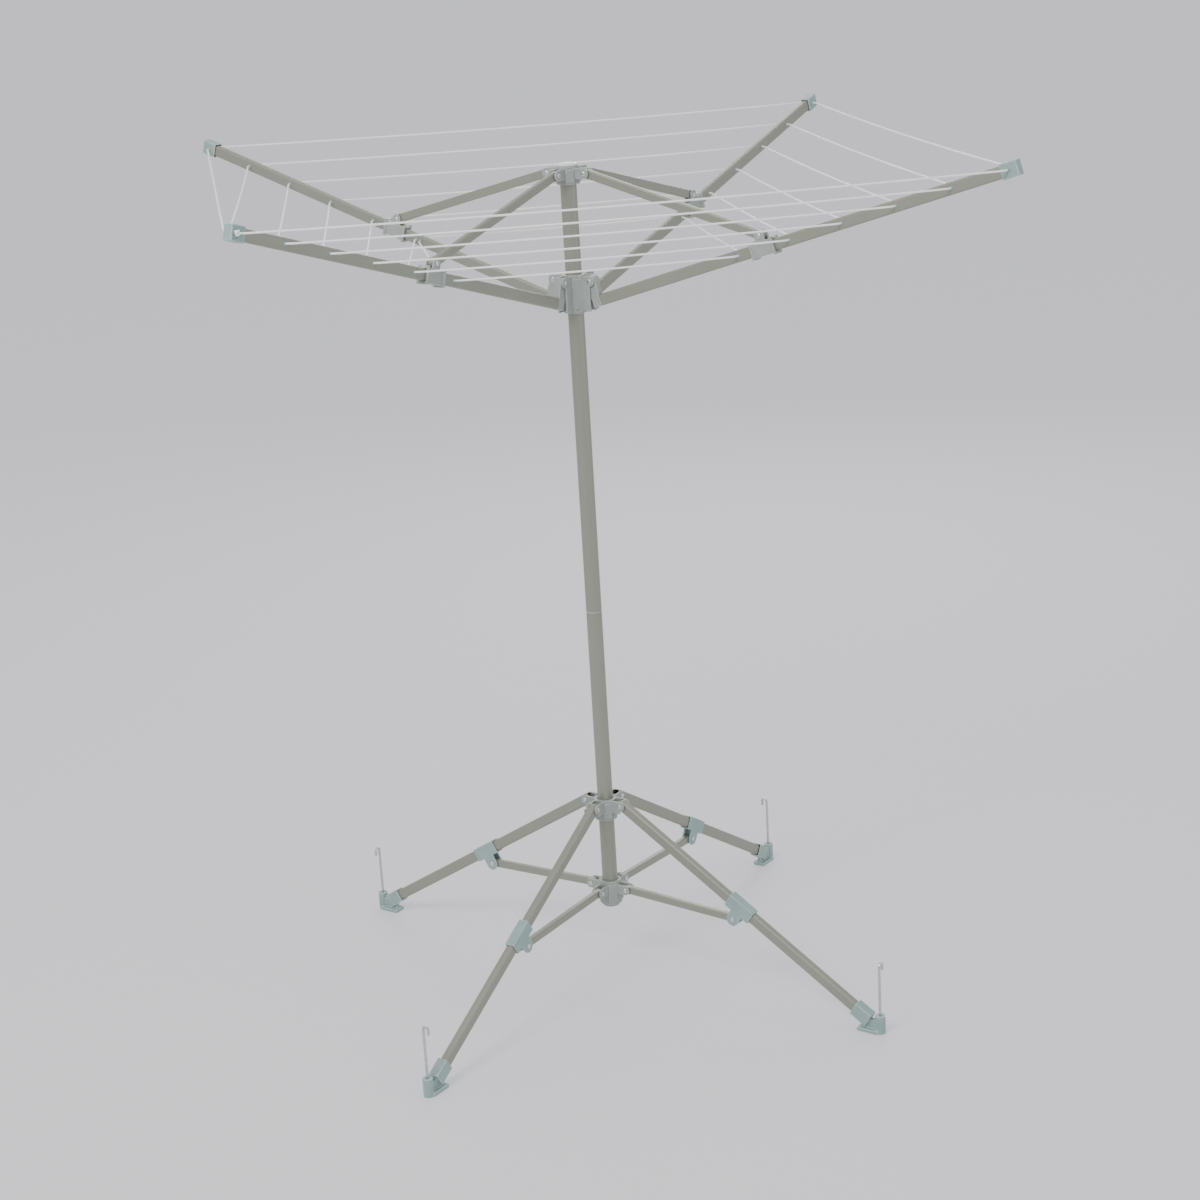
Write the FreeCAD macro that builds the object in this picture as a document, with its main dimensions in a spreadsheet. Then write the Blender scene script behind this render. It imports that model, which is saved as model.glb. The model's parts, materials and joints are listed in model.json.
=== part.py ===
"""Rotary clothesline: a four-arm folding airer on a four-leg stand.

Units are millimetres. The origin is on the ground under the mast, +Z is up and the arms and legs lie on
the diagonals between +X and +Y. Arm and leg 1 point to +X+Y and the numbers go anticlockwise from above.
Each arm, strut and leg is modelled in its own frame, +X along the tube and +Z away from the ground, and
its Placement then tilts it and turns it about the mast.
"""
import FreeCAD
import Part
import Sketcher
import math
import os
import re

SIZES = {
    # mast
    "mast_radius": 14.0,
    "mast_wall": 1.2,
    "mast_foot_height": 132.0,
    "mast_seam_height": 694.0,
    "mast_top_height": 1484.0,
    "spigot_reach": 84.0,
    "spigot_wall": 1.5,
    "ring_thickness": 4.0,
    "top_cap_radius": 18.0,
    "top_cap_thickness": 6.0,
    "plug_depth": 24.0,
    "plug_flange": 5.0,
    "plug_flange_lip": 1.5,
    # linkage of the arms
    "top_pivot_height": 1472.0,
    "pivot_radius": 38.0,
    "link_length": 350.0,
    "link_angle": 15.0,
    "arm_angle": 17.4,
    "arm_pivot_gap": 1.1,
    "arm_tip_radius": 830.0,
    "arm_tube_start": 8.0,
    "knuckle_grip": 30.0,
    "strut_grip": 12.0,
    # sections, width across by height
    "arm_width": 12.0,
    "arm_height": 20.0,
    "arm_corner": 3.5,
    "arm_strut_width": 10.0,
    "arm_strut_height": 15.0,
    "leg_width": 14.0,
    "leg_height": 20.0,
    "leg_corner": 4.0,
    "leg_strut_width": 11.0,
    "leg_strut_height": 14.0,
    "strut_corner": 2.5,
    "tube_wall": 1.3,
    # linkage of the legs
    "leg_pivot_height": 330.0,
    "leg_strut_pivot_height": 164.0,
    "leg_bracket_reach": 288.0,
    "leg_pivot_gap": 7.6,
    "foot_radius": 552.0,
    "foot_axis_height": 13.0,
    "leg_end_gap": 18.0,
    # plastic fittings
    "fit_gap": 0.1,
    "slide_gap": 0.4,
    "side_gap": 0.5,
    "overlap": 1.0,
    "collar_wall": 6.5,
    "ear_wall": 3.6,
    "boss_radius": 9.0,
    "top_hub_drop": 18.0,
    "runner_rise": 10.0,
    "runner_drop": 56.0,
    "runner_ear_drop": 52.0,
    "leg_hub_rise": 9.0,
    "leg_hub_drop": 30.0,
    "leg_hub_ear_drop": 14.0,
    "lower_hub_rise": 14.0,
    "sleeve_wall": 2.3,
    "arm_sleeve_length": 46.0,
    "rim_length": 4.0,
    "rim_lip": 2.5,
    "leg_ear_extra": 3.0,
    "leg_sleeve_length": 54.0,
    "cap_length": 29.0,
    "cap_wall": 2.5,
    "pin_radius": 2.5,
    "pin_head_radius": 4.6,
    "pin_head_height": 1.8,
    "pin_running_gap": 0.06,
    "pin_sunk": 0.5,
    "leg_pin_gap": 0.3,
    "foot_width": 24.0,
    "foot_socket_radius": 9.0,
    "foot_socket_height": 34.0,
    "foot_socket_overlap": 2.0,
    "foot_sleeve_length": 32.0,
    "foot_sole_length": 34.0,
    "foot_sole_thickness": 7.0,
    "foot_web_thickness": 8.0,
    "foot_web_height": 23.8,
    "foot_web_inset": 4.0,
    # lock knobs
    "knob_radius": 9.0,
    "knob_height": 12.0,
    "knob_stem_radius": 3.0,
    "knob_boss_reach": 6.0,
    "knob_boss_radius": 8.0,
    "knob_flute_radius": 2.7,
    "knob_flute_offset": 10.35,
    "runner_knob_drop": 44.0,
    "leg_knob_drop": 20.0,
    # ground pegs
    "peg_radius": 2.4,
    "peg_length": 130.0,
    "peg_ground_gap": 1.0,
    "peg_point_length": 8.0,
    "peg_point_radius": 0.96,
    "peg_hook_width": 26.0,
    # drying line
    "line_radius": 1.6,
    "line_hole_radius": 2.4,
    "line_tip_gap": 14.0,
    "line_bracket_gap": 46.4,
    "line_tie_offset": 8.0,
    "line_bend_radius": 8.0,
    "line_bend_gap": 0.4,
}
ARM_COUNT = 4
LINE_COUNT = 6
FLUTE_COUNT = 6
FIRST_AZIMUTH = 45.0


def derived_sizes(given):
    """Sizes that follow from the given ones, in millimetres and degrees."""
    got = {}
    link_angle, arm_angle = math.radians(given["link_angle"]), math.radians(given["arm_angle"])
    skew = arm_angle - link_angle
    around = given["fit_gap"] + given["sleeve_wall"]
    strut_room = given["arm_strut_height"] / 2 + given["arm_pivot_gap"]
    got["arm_pivot_rise"] = given["arm_height"] / 2 + around + strut_room
    strut_room = given["leg_strut_height"] / 2 + given["leg_pivot_gap"]
    got["leg_pivot_drop"] = given["leg_height"] / 2 + around + strut_room
    got["runner_pivot_height"] = given["top_pivot_height"] - 2 * given["link_length"] * math.sin(link_angle)
    got["arm_bracket_reach"] = given["link_length"] * math.cos(skew)
    got["knuckle_rise"] = got["arm_pivot_rise"] + given["link_length"] * math.sin(skew)
    got["arm_start_radius"] = given["pivot_radius"] + got["knuckle_rise"] * math.sin(arm_angle)
    got["arm_start_height"] = got["runner_pivot_height"] - got["knuckle_rise"] * math.cos(arm_angle)
    got["arm_length"] = (given["arm_tip_radius"] - got["arm_start_radius"]) / math.cos(arm_angle)
    got["line_first_radius"] = given["arm_tip_radius"] - given["line_tip_gap"]
    bracket_radius = got["arm_start_radius"] + got["arm_bracket_reach"] * math.cos(arm_angle)
    last_radius = bracket_radius - given["line_bracket_gap"]
    got["line_spacing"] = (got["line_first_radius"] - last_radius) / (LINE_COUNT - 1)
    leg_out = given["foot_radius"] - given["pivot_radius"]
    leg_down = given["leg_pivot_height"] - given["foot_axis_height"]
    leg_angle = math.atan2(leg_down, leg_out)
    reach, drop = given["leg_bracket_reach"], got["leg_pivot_drop"]
    strut_out = reach * math.cos(leg_angle) - drop * math.sin(leg_angle)
    bracket_height = given["leg_pivot_height"] - reach * math.sin(leg_angle) - drop * math.cos(leg_angle)
    strut_up = bracket_height - given["leg_strut_pivot_height"]
    got["leg_angle"] = math.degrees(leg_angle)
    got["leg_length"] = math.hypot(leg_out, leg_down)
    got["leg_strut_length"] = math.hypot(strut_out, strut_up)
    got["leg_strut_angle"] = math.degrees(math.atan2(strut_up, strut_out))
    socket_reach = given["foot_socket_radius"] - given["foot_socket_overlap"]
    got["peg_socket_radius"] = given["foot_radius"] + socket_reach
    return got


NUMBERS = dict(SIZES, **derived_sizes(SIZES))
doc = FreeCAD.newDocument("rotary_clothesline")
sheet = doc.addObject("Spreadsheet::Sheet", "Sizes")
for row, (alias, number) in enumerate(NUMBERS.items(), start=1):
    sheet.set("A%d" % row, alias)
    sheet.set("B%d" % row, repr(number))
    sheet.setAlias("B%d" % row, alias)
doc.recompute()

subparts = []


def size(alias):
    """Value of one cell of the sheet."""
    return float(sheet.get(alias))


def sheet_name(word):
    """A matched word as the sheet knows it."""
    return "Sizes." + word.group() if word.group() in NUMBERS else word.group()


def bound(text):
    """Expression with every alias in it written as Sizes.alias."""
    return re.sub(r"[A-Za-z_]\w*", sheet_name, str(text))


def keep(obj, label, placement=None):
    """Make obj a sub-part: its label names its file."""
    obj.Label = label
    if placement is not None:
        obj.Placement = placement
    subparts.append(obj)
    return obj


# ---------------------------------------------------------------- primitives whose sizes are expressions
def block(name, x, y, z):
    """Box between two bounds on each axis."""
    box = doc.addObject("Part::Box", name)
    for axis, side, (low, high) in zip("xyz", ("Length", "Width", "Height"), (x, y, z)):
        box.setExpression(side, bound("(%s) - (%s)" % (high, low)))
        box.setExpression("Placement.Base." + axis, bound(low))
    return box


TURN_TO_AXIS = {
    "x": FreeCAD.Rotation(FreeCAD.Vector(0, 1, 0), 90),
    "y": FreeCAD.Rotation(FreeCAD.Vector(1, 0, 0), -90),
    "z": FreeCAD.Rotation(),
}


def rod(name, radius, start, length, axis="y"):
    """Cylinder from a start point along one axis."""
    cylinder = doc.addObject("Part::Cylinder", name)
    cylinder.setExpression("Radius", bound(radius))
    cylinder.setExpression("Height", bound(length))
    cylinder.Placement = FreeCAD.Placement(FreeCAD.Vector(), TURN_TO_AXIS[axis])
    for letter, place in zip("xyz", start):
        cylinder.setExpression("Placement.Base." + letter, bound(place))
    return cylinder


def cross_rod(name, radius, x, z, half):
    """Cylinder across the width, centred on it."""
    return rod(name, radius, (x, "-(%s)" % half, z), "2*(%s)" % half)


def fuse(name, shapes):
    joined = doc.addObject("Part::MultiFuse", name)
    joined.Shapes = shapes
    joined.Refine = True
    return joined


def cut(name, base, *tools):
    """Base without the tools."""
    result = doc.addObject("Part::Cut", name)
    result.Base = base
    result.Tool = tools[0] if len(tools) == 1 else fuse(name + "_tools", list(tools))
    result.Refine = True
    return result


def turned(obj, azimuth):
    """Turn a helper object about the mast."""
    turn = FreeCAD.Placement(FreeCAD.Vector(), FreeCAD.Rotation(FreeCAD.Vector(0, 0, 1), azimuth))
    holder = doc.addObject("Part::Compound", obj.Name + "_turned")
    holder.Links = [obj]
    holder.Placement = turn
    return holder


def group(name, shapes):
    """Separate solids that share one node."""
    compound = doc.addObject("Part::Compound", name)
    compound.Links = shapes
    return compound


# ---------------------------------------------------------------- tubes: sketch and pad
def origin_plane(body, role):
    return next(item for item in body.Origin.OriginFeatures if item.Role == role)


def attached_sketch(body, role):
    sketch = body.newObject("Sketcher::SketchObject", body.Name + "_sketch")
    sketch.AttachmentSupport = [(origin_plane(body, role), "")]
    sketch.MapMode = "FlatFace"
    return sketch


def rounded_rectangle(sketch, across, high, corner):
    """Rounded rectangle centred on the sketch origin, its three sizes bound to expressions."""
    vector = FreeCAD.Vector
    up = vector(0, 0, 1)
    half_x, half_y, radius = 6.0, 10.0, 2.0
    in_x, in_y = half_x - radius, half_y - radius
    first = sketch.GeometryCount
    ends = [
        ((-in_x, -half_y), (in_x, -half_y)),
        ((half_x, -in_y), (half_x, in_y)),
        ((in_x, half_y), (-in_x, half_y)),
        ((-half_x, in_y), (-half_x, -in_y)),
    ]
    for start, end in ends:
        sketch.addGeometry(Part.LineSegment(vector(*start, 0), vector(*end, 0)))
    centres = [(in_x, -in_y), (in_x, in_y), (-in_x, in_y), (-in_x, -in_y)]
    for turn, centre in enumerate(centres, start=-1):
        circle = Part.Circle(vector(*centre, 0), up, radius)
        begin = turn * math.pi / 2
        sketch.addGeometry(Part.ArcOfCircle(circle, begin, begin + math.pi / 2))
    make = Sketcher.Constraint
    for side in range(4):
        line, arc, following = first + side, first + 4 + side, first + (side + 1) % 4
        sketch.addConstraint(make("Tangent", line, 2, arc, 1))
        sketch.addConstraint(make("Tangent", arc, 2, following, 1))
        sketch.addConstraint(make("Horizontal" if side % 2 == 0 else "Vertical", line))
    for side in range(3):
        sketch.addConstraint(make("Equal", first + 4 + side, first + 5 + side))
    sketch.addConstraint(make("Symmetric", first + 4, 3, first + 6, 3, -1, 1))
    driven = [
        (make("DistanceX", first + 3, 1, first + 1, 1, 2 * half_x), across),
        (make("DistanceY", first, 1, first + 2, 1, 2 * half_y), high),
        (make("Radius", first + 4, radius), corner),
    ]
    for constraint, text in driven:
        index = sketch.addConstraint(constraint)
        sketch.setExpression("Constraints[%d]" % index, bound(text))


def ring_sketch(sketch, outer, inner):
    """Two circles about the sketch origin."""
    make = Sketcher.Constraint
    for radius, text in ((14.0, outer), (12.0, inner)):
        circle = Part.Circle(FreeCAD.Vector(), FreeCAD.Vector(0, 0, 1), radius)
        index = sketch.addGeometry(circle)
        sketch.addConstraint(make("Coincident", index, 3, -1, 1))
        number = sketch.addConstraint(make("Radius", index, radius))
        sketch.setExpression("Constraints[%d]" % number, bound(text))


def flat_tube(label, across, high, corner, start, end):
    """Rounded rectangular tube along X between start and end."""
    body = doc.addObject("PartDesign::Body", label)
    sketch = attached_sketch(body, "YZ_Plane")
    rounded_rectangle(sketch, across, high, corner)
    thin = "%s - 2*tube_wall"
    rounded_rectangle(sketch, thin % across, thin % high, "%s - tube_wall" % corner)
    sketch.setExpression("AttachmentOffset.Base.z", bound(start))
    pad = body.newObject("PartDesign::Pad", label + "_pad")
    pad.Profile = sketch
    pad.setExpression("Length", bound("(%s) - (%s)" % (end, start)))
    return body


def round_tube(label, outer, inner, bottom, top):
    """Round tube about the mast axis."""
    body = doc.addObject("PartDesign::Body", label)
    sketch = attached_sketch(body, "XY_Plane")
    ring_sketch(sketch, outer, inner)
    sketch.setExpression("AttachmentOffset.Base.z", bound(bottom))
    pad = body.newObject("PartDesign::Pad", label + "_pad")
    pad.Profile = sketch
    pad.setExpression("Length", bound("(%s) - (%s)" % (top, bottom)))
    return body


# ---------------------------------------------------------------- where the pieces stand
AZIMUTHS = [FIRST_AZIMUTH + 360.0 / ARM_COUNT * number for number in range(ARM_COUNT)]


def in_plane(azimuth, radius, height, tilt):
    """Placement of a piece in the upright plane through the mast at this azimuth, tilted outer end up."""
    turn = FreeCAD.Rotation(FreeCAD.Vector(0, 0, 1), azimuth)
    lift = FreeCAD.Rotation(FreeCAD.Vector(0, 1, 0), -tilt)
    base = turn.multVec(FreeCAD.Vector(radius, 0, height))
    return FreeCAD.Placement(base, turn.multiply(lift))


def arm_placement(azimuth):
    return in_plane(azimuth, size("arm_start_radius"), size("arm_start_height"), size("arm_angle"))


def arm_strut_placement(azimuth):
    return in_plane(azimuth, size("pivot_radius"), size("top_pivot_height"), -size("link_angle"))


def leg_placement(azimuth):
    return in_plane(azimuth, size("pivot_radius"), size("leg_pivot_height"), -size("leg_angle"))


def leg_strut_placement(azimuth):
    return in_plane(azimuth, size("pivot_radius"), size("leg_strut_pivot_height"), size("leg_strut_angle"))


def line_radius_at(number):
    """Distance from the mast of one of the line's holes, the outermost being 0."""
    return size("line_first_radius") - number * size("line_spacing")


def along_arm(radius):
    """Distance along the arm tube of a point at this radius from the mast."""
    return (radius - size("arm_start_radius")) / math.cos(math.radians(size("arm_angle")))


def axis_height(radius):
    """Height of the arm tube's axis at this radius from the mast."""
    slope = math.tan(math.radians(size("arm_angle")))
    return size("arm_start_height") + (radius - size("arm_start_radius")) * slope


# ---------------------------------------------------------------- mast
def make_mast():
    inner = "mast_radius - mast_wall"
    seam = "mast_seam_height"
    upper_foot = seam + " + ring_thickness"
    keep(round_tube("lower_mast_tube", "mast_radius", inner, "mast_foot_height", seam), "lower_mast_tube")
    top = "mast_top_height"
    keep(round_tube("upper_mast_tube", "mast_radius", inner, upper_foot, top), "upper_mast_tube")
    spigot_outer = inner + " - fit_gap"
    spigot_inner = spigot_outer + " - spigot_wall"
    reach = "spigot_reach"
    spigot = round_tube("spigot_tube", spigot_outer, spigot_inner, seam + " - " + reach, seam + " + " + reach)
    keep(spigot, "spigot_tube")
    ring_bottom, ring_top = seam + " + fit_gap", upper_foot + " - fit_gap"
    keep(round_tube("mast_bearing_ring", "mast_radius", inner, ring_bottom, ring_top), "mast_bearing_ring")
    foot = "mast_foot_height"
    flange_radius = "mast_radius + plug_flange_lip"
    flange = rod("end_flange", flange_radius, (0, 0, foot + " - plug_flange"), "plug_flange", "z")
    stem = rod("end_stem", inner, (0, 0, foot + " - overlap"), "plug_depth", "z")
    keep(fuse("mast_end_plug", [flange, stem]), "mast_end_plug")
    disc = rod("top_cap_disc", "top_cap_radius", (0, 0, top), "top_cap_thickness", "z")
    stem = rod("top_cap_stem", inner, (0, 0, top + " - plug_depth"), "plug_depth + overlap", "z")
    keep(fuse("mast_cap", [disc, stem]), "mast_cap")


# ---------------------------------------------------------------- hubs and their pins
def hub(name, bore_gap, bottom, top, pivot_height, width, ear_drop):
    """Collar on the mast with a pair of ears for each of the four tubes."""
    inner = "(%s)/2 + side_gap" % width
    outer = inner + " + ear_wall"
    tall = "(%s) - (%s)" % (top, bottom)
    pieces = [rod(name + "_collar", "mast_radius + collar_wall", (0, 0, bottom), tall, "z")]
    bore_bottom = "(%s) - overlap" % bottom
    bore = rod(name + "_bore", "mast_radius + " + bore_gap, (0, 0, bore_bottom), tall + " + 2*overlap", "z")
    slots = [bore]
    for number, azimuth in enumerate(AZIMUTHS, start=1):
        tag = "%s_%d" % (name, number)
        low = "%s - %s" % (pivot_height, ear_drop)
        high = pivot_height + " + boss_radius"
        root = block(tag + "_root", ("mast_radius", "pivot_radius"), ("-(%s)" % outer, outer), (low, high))
        nose = cross_rod(tag + "_nose", "boss_radius", "pivot_radius", pivot_height, outer)
        pieces.append(turned(fuse(tag + "_ears", [root, nose]), azimuth))
        slot_x = ("mast_radius + collar_wall", "pivot_radius + 2*boss_radius")
        slot_z = ("(%s) - 2*boss_radius" % low, high + " + 2*boss_radius")
        slot = block(tag + "_slot", slot_x, ("-(%s)" % inner, inner), slot_z)
        eye = cross_rod(tag + "_eye", "pin_radius", "pivot_radius", pivot_height, outer + " + overlap")
        slots.append(turned(fuse(tag + "_gap", [slot, eye]), azimuth))
    return cut(name, fuse(name + "_body", pieces), *slots)


def rivet(name, x, z, half):
    """Rivet across a pair of ears, with a head outside each."""
    shank = cross_rod(name + "_shank", "pin_radius", x, z, "%s + pin_sunk" % half)
    heads = []
    for side, start in (("left", "-(%s) - pin_head_height" % half), ("right", half)):
        heads.append(rod(name + "_" + side, "pin_head_radius", (x, start, z), "pin_head_height"))
    return fuse(name, [shank] + heads)


def stub_rivets(name, x, z, half):
    """Two rivet ends that stop at the inner faces of the ears."""
    stubs = []
    for side, sign in (("left", -1), ("right", 1)):
        inner = "(%s) - ear_wall" % half
        start = inner if sign > 0 else "-(%s)" % half
        head = half if sign > 0 else "-(%s) - pin_head_height" % half
        shank = rod(name + side + "_shank", "pin_radius", (x, start, z), "ear_wall")
        cap = rod(name + side + "_head", "pin_head_radius", (x, head, z), "pin_head_height")
        stubs.append(fuse(name + side, [shank, cap]))
    return group(name, stubs)


def hub_pins(name, pivot_height, width, maker):
    """The four rivets of a hub as one group."""
    half = "(%s)/2 + side_gap + ear_wall" % width
    pins = []
    for number, azimuth in enumerate(AZIMUTHS, start=1):
        pins.append(turned(maker("%s_%d" % (name, number), "pivot_radius", pivot_height, half), azimuth))
    return group(name, pins)


def make_hubs():
    top = "top_pivot_height"
    under_cap = "mast_top_height - fit_gap"
    bottom = top + " - top_hub_drop"
    keep(hub("top_hub", "fit_gap", bottom, under_cap, top, "arm_strut_width", "boss_radius"), "top_hub")
    keep(hub_pins("top_hub_pins", top, "arm_strut_width", rivet), "top_hub_pins")
    runner = "runner_pivot_height"
    keep(runner_hub(runner), "arm_runner")
    keep(hub_pins("arm_runner_pins", runner, "arm_width", rivet), "arm_runner_pins")
    leg = "leg_pivot_height"
    keep(leg_hub(leg), "leg_hub")
    keep(hub_pins("leg_hub_rivets", leg, "leg_width", stub_rivets), "leg_hub_rivets")
    foot = "leg_strut_pivot_height"
    low, high = "mast_foot_height + overlap", foot + " + lower_hub_rise"
    keep(hub("lower_hub", "fit_gap", low, high, foot, "leg_strut_width", "boss_radius"), "lower_hub")
    keep(hub_pins("lower_hub_pins", foot, "leg_strut_width", rivet), "lower_hub_pins")


def knob_bore(name, azimuth, height):
    """Radial hole for a lock screw, from inside the collar's bore to past its boss."""
    start = ("mast_radius - overlap", 0, height)
    length = "collar_wall + knob_boss_reach + 2*overlap"
    return turned(rod(name, "knob_stem_radius + slide_gap", start, length, "x"), azimuth)


def lock_knob(name, azimuth, height):
    """Fluted screw knob whose tip stops just short of the mast."""
    tip = "mast_radius + slide_gap"
    seat = "mast_radius + collar_wall + knob_boss_reach"
    stem = rod(name + "_stem", "knob_stem_radius", (tip, 0, height), "%s - (%s) + overlap" % (seat, tip), "x")
    head = rod(name + "_head", "knob_radius", (seat + " + slide_gap", 0, height), "knob_height", "x")
    flutes = []
    for number in range(FLUTE_COUNT):
        angle = math.tau * number / FLUTE_COUNT
        side = "knob_flute_offset*%.5f" % math.cos(angle)
        up = "%s + knob_flute_offset*%.5f" % (height, math.sin(angle))
        tag = "%s_flute_%d" % (name, number)
        flutes.append(rod(tag, "knob_flute_radius", (seat, side, up), "knob_height + 2*overlap", "x"))
    fluted = cut(name + "_fluted", head, *flutes)
    return turned(fuse(name + "_solid", [stem, fluted]), azimuth)


RUNNER_KNOB_AZIMUTH = 0.0
LEG_KNOB_AZIMUTH = 180.0


def with_knob_boss(name, body, azimuth, height):
    """Add the boss of a lock knob and drill it."""
    reach = "collar_wall + knob_boss_reach - slide_gap"
    boss = rod(name + "_boss", "knob_boss_radius", ("mast_radius + slide_gap", 0, height), reach, "x")
    joined = fuse(name + "_bossed", [body, turned(boss, azimuth)])
    return cut(name, joined, knob_bore(name + "_screw_hole", azimuth, height))


def runner_hub(pivot):
    """Runner of the arms: its collar hangs below the ears to where the arm tubes meet it."""
    low, high = pivot + " - runner_drop", pivot + " + runner_rise"
    body = hub("runner_body", "slide_gap", low, high, pivot, "arm_width", "runner_ear_drop")
    return with_knob_boss("arm_runner", body, RUNNER_KNOB_AZIMUTH, pivot + " - runner_knob_drop")


def leg_hub(pivot):
    """Sliding hub of the legs, whose ears stand near the top of its collar."""
    low, high = pivot + " - leg_hub_drop", pivot + " + leg_hub_rise"
    body = hub("leg_hub_body", "slide_gap", low, high, pivot, "leg_width", "leg_hub_ear_drop")
    return with_knob_boss("leg_hub", body, LEG_KNOB_AZIMUTH, pivot + " - leg_knob_drop")


def make_knobs():
    arm_knob = lock_knob("runner_lock_knob", RUNNER_KNOB_AZIMUTH, "runner_pivot_height - runner_knob_drop")
    keep(arm_knob, "runner_lock_knob")
    leg_knob = lock_knob("leg_lock_knob", LEG_KNOB_AZIMUTH, "leg_pivot_height - leg_knob_drop")
    keep(leg_knob, "leg_lock_knob")


# ---------------------------------------------------------------- arms
def line_positions(number):
    """Distances along arm number of every hole for the line, the tie hole last where it has one."""
    places = [line_radius_at(hole) for hole in range(LINE_COUNT)]
    if number == 3:
        places.append(places[0] + size("line_tie_offset"))
    if number == 2:
        places.append(places[-1] - size("line_tie_offset"))
    return [along_arm(place) for place in places]


def make_arm(number, azimuth):
    """Arm tube with its end cap, strut bracket and knuckle."""
    place = arm_placement(azimuth)
    name = "arm_tube_%d" % number
    end = "arm_length - cap_wall"
    tube = flat_tube(name + "_body", "arm_width", "arm_height", "arm_corner", "arm_tube_start", end)
    drills = []
    for hole, x in enumerate(line_positions(number)):
        tag = "%s_hole_%d" % (name, hole)
        drills.append(cross_rod(tag, "line_hole_radius", "%.6f" % x, "0", "arm_width"))
    keep(cut(name, tube, *drills), name, place)
    keep(arm_end_cap(number), "arm_end_cap_%d" % number, place)
    keep(arm_bracket(number), "arm_bracket_%d" % number, place)
    keep(arm_knuckle(number), "arm_knuckle_%d" % number, place)


def sleeve(name, width, height, wall, start, end, closed=False):
    """Outside and inside of a box sleeve around a flat tube."""
    half_y = "(%s)/2 + fit_gap" % width
    half_z = "(%s)/2 + fit_gap" % height
    outer_y = ("-(%s) - %s" % (half_y, wall), "%s + %s" % (half_y, wall))
    outer_z = ("-(%s) - %s" % (half_z, wall), "%s + %s" % (half_z, wall))
    outer = block(name + "_outer", (start, end), outer_y, outer_z)
    stop = "%s - %s" % (end, wall) if closed else "%s + overlap" % end
    inner_x = (start + " - overlap", stop)
    inner = block(name + "_inner", inner_x, ("-(%s)" % half_y, half_y), ("-(%s)" % half_z, half_z))
    return outer, inner


def arm_end_cap(number):
    """Closed cap over the arm's tip, drilled with the tube for the outermost line."""
    name = "arm_end_cap_%d" % number
    end = "arm_length"
    outer, inner = sleeve(name, "arm_width", "arm_height", "cap_wall", end + " - cap_length", end, True)
    holes = []
    for hole, x in enumerate(line_positions(number)):
        if x > size("arm_length") - size("cap_length"):
            tag = "%s_hole_%d" % (name, hole)
            holes.append(cross_rod(tag, "line_hole_radius", "%.6f" % x, "0", "arm_width"))
    return cut(name, outer, inner, *holes)


def arm_bracket(number):
    """Sleeve clamped round the arm with two ears above it for the strut, and the strut's rivet."""
    name = "arm_bracket_%d" % number
    x = "arm_bracket_reach"
    start, end = x + " - arm_sleeve_length/2", x + " + arm_sleeve_length/2"
    outer, inner = sleeve(name, "arm_width", "arm_height", "sleeve_wall", start, end)
    half = "arm_width/2 + fit_gap + sleeve_wall"
    flange = "%s + rim_lip" % half
    tall = "arm_height/2 + fit_gap + sleeve_wall + rim_lip"
    rims = []
    for side, low in (("inner", start), ("outer", end + " - rim_length")):
        rim_x, rim_y = (low, low + " + rim_length"), ("-(%s)" % flange, flange)
        rims.append(block("%s_%s_rim" % (name, side), rim_x, rim_y, ("-(%s)" % tall, tall)))
    root_x = (x + " - boss_radius", x + " + boss_radius")
    root = block(name + "_ear_root", root_x, ("-(%s)" % half, half), ("0", "arm_pivot_rise"))
    nose = cross_rod(name + "_ear_nose", "boss_radius", x, "arm_pivot_rise", half)
    slot_half = "arm_strut_width/2 + side_gap"
    slot_x = (start + " - overlap", end + " + overlap")
    slot_z = ("arm_height/2 + fit_gap + sleeve_wall", "arm_pivot_rise + boss_radius + overlap")
    slot = block(name + "_slot", slot_x, ("-(%s)" % slot_half, slot_half), slot_z)
    eye = cross_rod(name + "_eye", "pin_radius", x, "arm_pivot_rise", half + " + overlap")
    solid = fuse(name + "_solid", [outer, root, nose] + rims)
    body = cut(name + "_shell", solid, inner, slot, eye)
    return group(name, [body, rivet(name + "_pin", x, "arm_pivot_rise", half)])


def arm_knuckle(number):
    """Moulded inner end of the arm: a plug in the tube and a neck up to the runner's pivot."""
    name = "arm_knuckle_%d" % number
    half = "arm_width/2"
    across = ("-(%s)" % half, half)
    rise = "knuckle_rise"
    foot_x, foot_z = ("-boss_radius", "arm_tube_start"), ("-arm_height/2", "arm_height/2")
    foot = block(name + "_foot", foot_x, across, foot_z)
    neck = block(name + "_neck", ("-boss_radius", "boss_radius"), across, ("0", rise))
    nose = cross_rod(name + "_nose", "boss_radius", "0", rise, half)
    step_x = ("arm_tube_start", "boss_radius + overlap")
    step_y = ("-(%s) - overlap" % half, half + " + overlap")
    step = block(name + "_step", step_x, step_y, ("-arm_height", "arm_height/2 + fit_gap"))
    necked = cut(name + "_necked", fuse(name + "_shape", [foot, neck, nose]), step)
    grip = "tube_wall + fit_gap"
    plug_y = ("-(%s) + %s" % (half, grip), "%s - (%s)" % (half, grip))
    plug_z = ("-arm_height/2 + arm_corner", "arm_height/2 - arm_corner")
    plug = block(name + "_plug", ("0", "arm_tube_start + knuckle_grip"), plug_y, plug_z)
    eye = cross_rod(name + "_eye", "pin_radius + pin_running_gap", "0", rise, half + " + overlap")
    return cut(name, fuse(name + "_solid", [necked, plug]), eye)


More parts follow.
